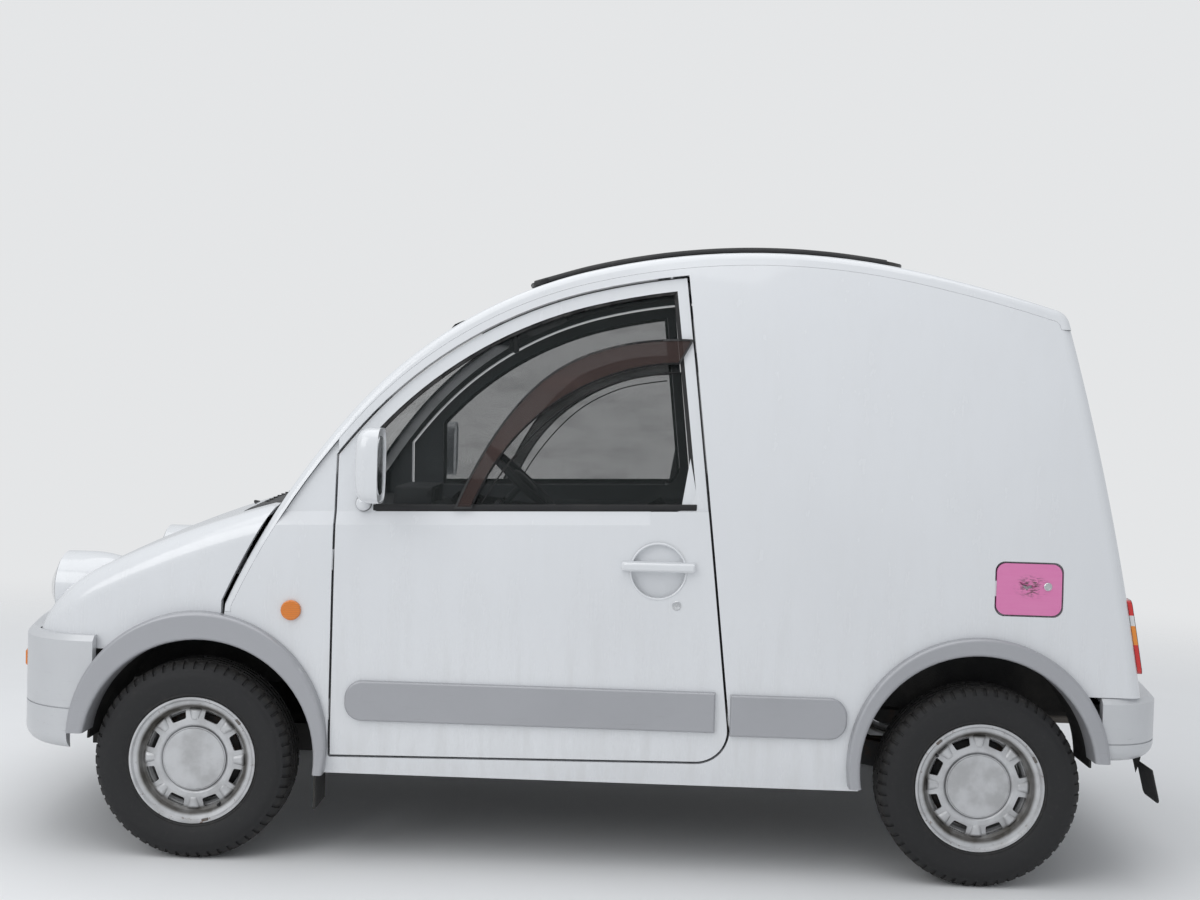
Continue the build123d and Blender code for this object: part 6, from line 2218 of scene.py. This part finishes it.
@dataclass(frozen=True)
class Cabin:
    """Dashboard fittings, controls, pedals, mirror, sun visors, seat belts and the load bay's mat."""

    driver_y: float = 0.35
    dash_face_x: float = -0.522
    dial_x: float = -0.576
    dial_z: float = 1.001
    under_roof_z: float = 1.2
    mat_half: float = 0.51
    mat_ribs: int = 34

    def build(self, palette: Palette) -> None:
        """Build the cabin's fittings."""
        self._binnacle().dress(palette.dash, "body", "trim_grey")
        self._dials().dress(palette.rubber, "body", "black_plastic")
        self._vents().dress(palette.black, "body", "black_plastic")
        self._radio().dress(palette.black, "body", "black_plastic")
        self._glove_box().dress(palette.dash, "body", "trim_grey")
        self._wheel_boss().dress(palette.black, "steering_wheel", "black_plastic")
        self._levers().dress(palette.black, "body", "black_plastic")
        self._pedals().dress(palette.hub, "body", "hub_steel")
        self._room_mirror().dress(palette.black, "body", "black_plastic")
        self._sun_visors().dress(palette.cabin, "body", "trim_grey")
        self._load_mat().dress(palette.floor, "body", "frame_steel")
        self._belts().dress(palette.black, "body", "black_plastic")

    def _binnacle(self) -> Piece:
        """Hooded housing of the instruments."""
        hood = Piece.block("instrument_hood", (-0.625, self.driver_y, 1.002), (0.15, 0.36, 0.075))
        hood.faces(facing("+x")).inset(0.012, 0.0).slide((-0.03, 0.0, 0.0))
        hood.faces(facing("+z")).scale((0.9, 0.86, 1.0), (-0.64, self.driver_y, 1.0))
        return hood.rounded(0.009, 3)

    def _dials(self) -> Piece:
        """Instrument face with two dials, their rings and pointers."""
        x, z = self.dial_x, self.dial_z
        face = Piece.block("instruments", (x - 0.004, self.driver_y, z), (0.004, 0.3, 0.05))
        face.faces(facing("+x")).inset(0.003, -0.001)
        profile = ((0.0235, -0.003), (0.0235, 0.002), (0.0215, 0.002), (0.021, -0.001), (0.004, -0.001),
                   (0.0036, 0.002), (0.001, 0.0022))
        made = []
        for y in (self.driver_y - 0.075, self.driver_y + 0.075):
            ring = Piece.turned("dial", (x, y, z), Axis.X, profile, 36, capped=True)
            pointer = Piece.block("pointer", (x + 0.0006, y, 1.01), (0.0008, 0.0014, 0.016))
            made += [ring, pointer.rounded(0.0003, 1).turn(0.9, "X", (x, y, z))]
        return face.joined(*made)

    def _vents(self) -> Piece:
        """Four louvred air vents."""
        made = []
        for y in (-0.6, -0.085, 0.085, 0.6):
            vent = Piece.block("air_vents", (self.dash_face_x - 0.003, y, 0.885), (0.014, 0.12, 0.062))
            for level in range(1, 6):
                vent.cut((0.0, 0.0, 0.858 + 0.054 * level / 6), (0.0, 0.0, 1.0))
            vent.faces(facing("+x")).inset(0.0022, -0.006, True)
            made.append(vent.rounded(0.0012, 1).turn(-0.146, "Y", (self.dash_face_x, y, 0.885)))
        return together(made)

    def _radio(self) -> Piece:
        """Radio and heater panel with knobs."""
        x = self.dash_face_x - 0.016
        panel = Piece.block("radio_panel", (x, 0.0, 0.805), (0.016, 0.19, 0.08))
        panel.faces(facing("+x")).inset(0.008, -0.002).inset(0.018, 0.001)
        panel.rounded(0.0018, 2)
        knobs = [
            Piece.turned("knob", (x + 0.008, y, 0.805), Axis.X,
                         ((0.01, 0.0), (0.0105, 0.006), (0.0095, 0.011), (0.003, 0.012)), 24, capped=True)
            for y in (-0.076, 0.076)
        ]
        return panel.joined(*knobs)

    def _glove_box(self) -> Piece:
        """Glove box lid with its catch."""
        lid = Piece.block("glove_box", (self.dash_face_x - 0.01, -0.36, 0.812), (0.014, 0.33, 0.082))
        lid.edges(running("x")).chamfer(0.014, 4)
        lid.faces(facing("+x")).inset(0.005, 0.0025)
        catch = Piece.block("catch", (self.dash_face_x + 0.0005, -0.36, 0.838), (0.008, 0.05, 0.013))
        return lid.rounded(0.002, 2).joined(catch.rounded(0.003, 2))

    def _wheel_boss(self) -> Piece:
        """Padded boss of the steering wheel."""
        centre = (-0.25, self.driver_y, 1.06)
        profile = (
            (0.052, -0.014), (0.056, 0.0), (0.054, 0.01), (0.044, 0.0165), (0.024, 0.019), (0.008, 0.0195)
        )
        boss = Piece.turned("wheel_boss", centre, Axis.Z, profile, 40, capped=True)
        return boss.turn(-math.radians(42.0), "Y", centre)

    def _levers(self) -> Piece:
        """Gear lever with its gaiter, hand brake and column stalks."""
        gaiter = Piece.turned("levers", (-0.33, 0.0, 0.331), Axis.Z,
                              ((0.06, 0.0), (0.056, 0.012), (0.044, 0.03), (0.036, 0.036), (0.028, 0.056),
                               (0.018, 0.062), (0.012, 0.08)), 28)
        stick = Piece.tube("stick", [(-0.33, 0.0, 0.39), (-0.33, 0.0, 0.5), (-0.3, 0.0, 0.6)], 0.006, 2)
        profile = ((0.01, 0.0), (0.02, 0.01), (0.024, 0.026), (0.018, 0.042), (0.006, 0.047))
        knob = Piece.turned("knob", (-0.3, 0.0, 0.59), Axis.Z, profile, 24, capped=True)
        brake = Piece.tube("brake", [(0.02, 0.0, 0.4), (-0.06, 0.0, 0.435), (-0.16, 0.0, 0.48)], 0.013, 3)
        run = ((-0.325, 0.03, 0.985), (-0.315, 0.1, 0.995), (-0.305, 0.165, 1.01))
        stalks = [
            Piece.tube("stalk", [(x, self.driver_y + side * out, z) for x, out, z in run], 0.0055, 2)
            for side in (-1, 1)
        ]
        return gaiter.joined(stick, knob, brake, *stalks)

    def _pedals(self) -> Piece:
        """Three pedals with ribbed rubbers."""
        made = []
        for y, width in ((0.255, 0.055), (0.345, 0.055), (0.435, 0.045)):
            pad = Piece.block("pedals", (-0.7, y, 0.43), (0.012, width, 0.062))
            for level in range(1, 5):
                pad.cut((0.0, 0.0, 0.399 + 0.062 * level / 5), (0.0, 0.0, 1.0))
            pad.faces(facing("+x")).inset(0.0025, 0.0018, True)
            arm = Piece.tube("arm", [(-0.706, y, 0.43), (-0.73, y, 0.56), (-0.74, y, 0.735)], 0.006, 2)
            made.append(pad.turn(0.35, "Y", (-0.7, y, 0.43)).joined(arm))
        return together(made)

    def _room_mirror(self) -> Piece:
        """Rear-view mirror on its stalk."""
        roof = touch("roof_frame", (-0.255, 0.0, self.under_roof_z), UP)
        glass = Piece.block("room_mirror", (roof.x - 0.015, 0.0, roof.z - 0.085), (0.018, 0.22, 0.058))
        glass.edges(running("x")).chamfer(0.02, 5)
        glass.faces(facing("+x")).inset(0.004, -0.002)
        stalk = Piece.tube("stalk", [(roof.x + 0.01, 0.0, roof.z + 0.004), (roof.x, 0.0, roof.z - 0.04),
                                     (roof.x - 0.016, 0.0, roof.z - 0.07)], 0.0075, 2)
        return glass.rounded(0.003, 2).joined(stalk)

    def _sun_visors(self) -> Piece:
        """Folded-up sun visors."""
        made = []
        for y in (-0.3, 0.3):
            roof = touch("roof_frame", (-0.215, y, self.under_roof_z), UP)
            pad = Piece.block("sun_visors", (roof.x + 0.02, y, roof.z - 0.022), (0.15, 0.36, 0.016))
            pad.edges(running("z")).chamfer(0.03, 4)
            pad.faces(facing("-z")).inset(0.008, 0.003)
            made.append(pad.rounded(0.005, 2).turn(0.42, "Y", tuple(roof)))
        return together(made)

    def _load_mat(self) -> Piece:
        """Ribbed mat on the load floor."""
        mat = Piece.block("load_mat", (0.965, 0.0, 0.5325), (1.16, 2 * self.mat_half, 0.004))
        for step in range(1, self.mat_ribs):
            mat.cut((0.0, -self.mat_half + 2 * self.mat_half * step / self.mat_ribs, 0.0), (0.0, 1.0, 0.0))
        mat.faces(lambda m, n: n.z > 0.9 and int((m.y + self.mat_half) / 0.03) % 2 == 0).inset(0.003, 0.003)
        return mat

    def _belts(self) -> Piece:
        """Seat belts with their reels and upper mounts."""
        profile = ((0.02, 0.01), (0.024, 0.004), (0.024, -0.004), (0.018, -0.008), (0.005, -0.009))
        made = []
        for side in (-1, 1):
            y = side * 0.64
            strap = Piece.block("seat_belts", (0.395, y, 0.95), (0.002, 0.048, 0.56))
            strap.faces(facing("+z")).slide((0.02, side * 0.01, 0.0))
            reel = Piece.block("reel", (0.385, y, 0.64), (0.06, 0.062, 0.09))
            reel.faces(facing("+z")).inset(0.01, 0.004)
            top = Piece.turned("top", (0.415, y + side * 0.01, 1.235), Axis.X, profile, 22, capped=True)
            made.append(strap.joined(reel.rounded(0.006, 2), top))
        return together(made)


def main() -> None:
    """Load the frame, dress it and build every piece on it."""
    logging.basicConfig(level=logging.INFO, format="%(name)s: %(message)s", stream=sys.stdout)
    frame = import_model()
    palette = Palette()
    palette.dress_frame(frame["nodes"])
    Studio().build()
    groups = (Glazing, CanvasTop, Lamps, Nose, Tail, DoorFittings, FuelFiller, Seats, Cabin, Wheels)
    for group in groups:
        log.info("building %s", group.__name__)
        group().build(palette)


if __name__ == "__main__":
    main()
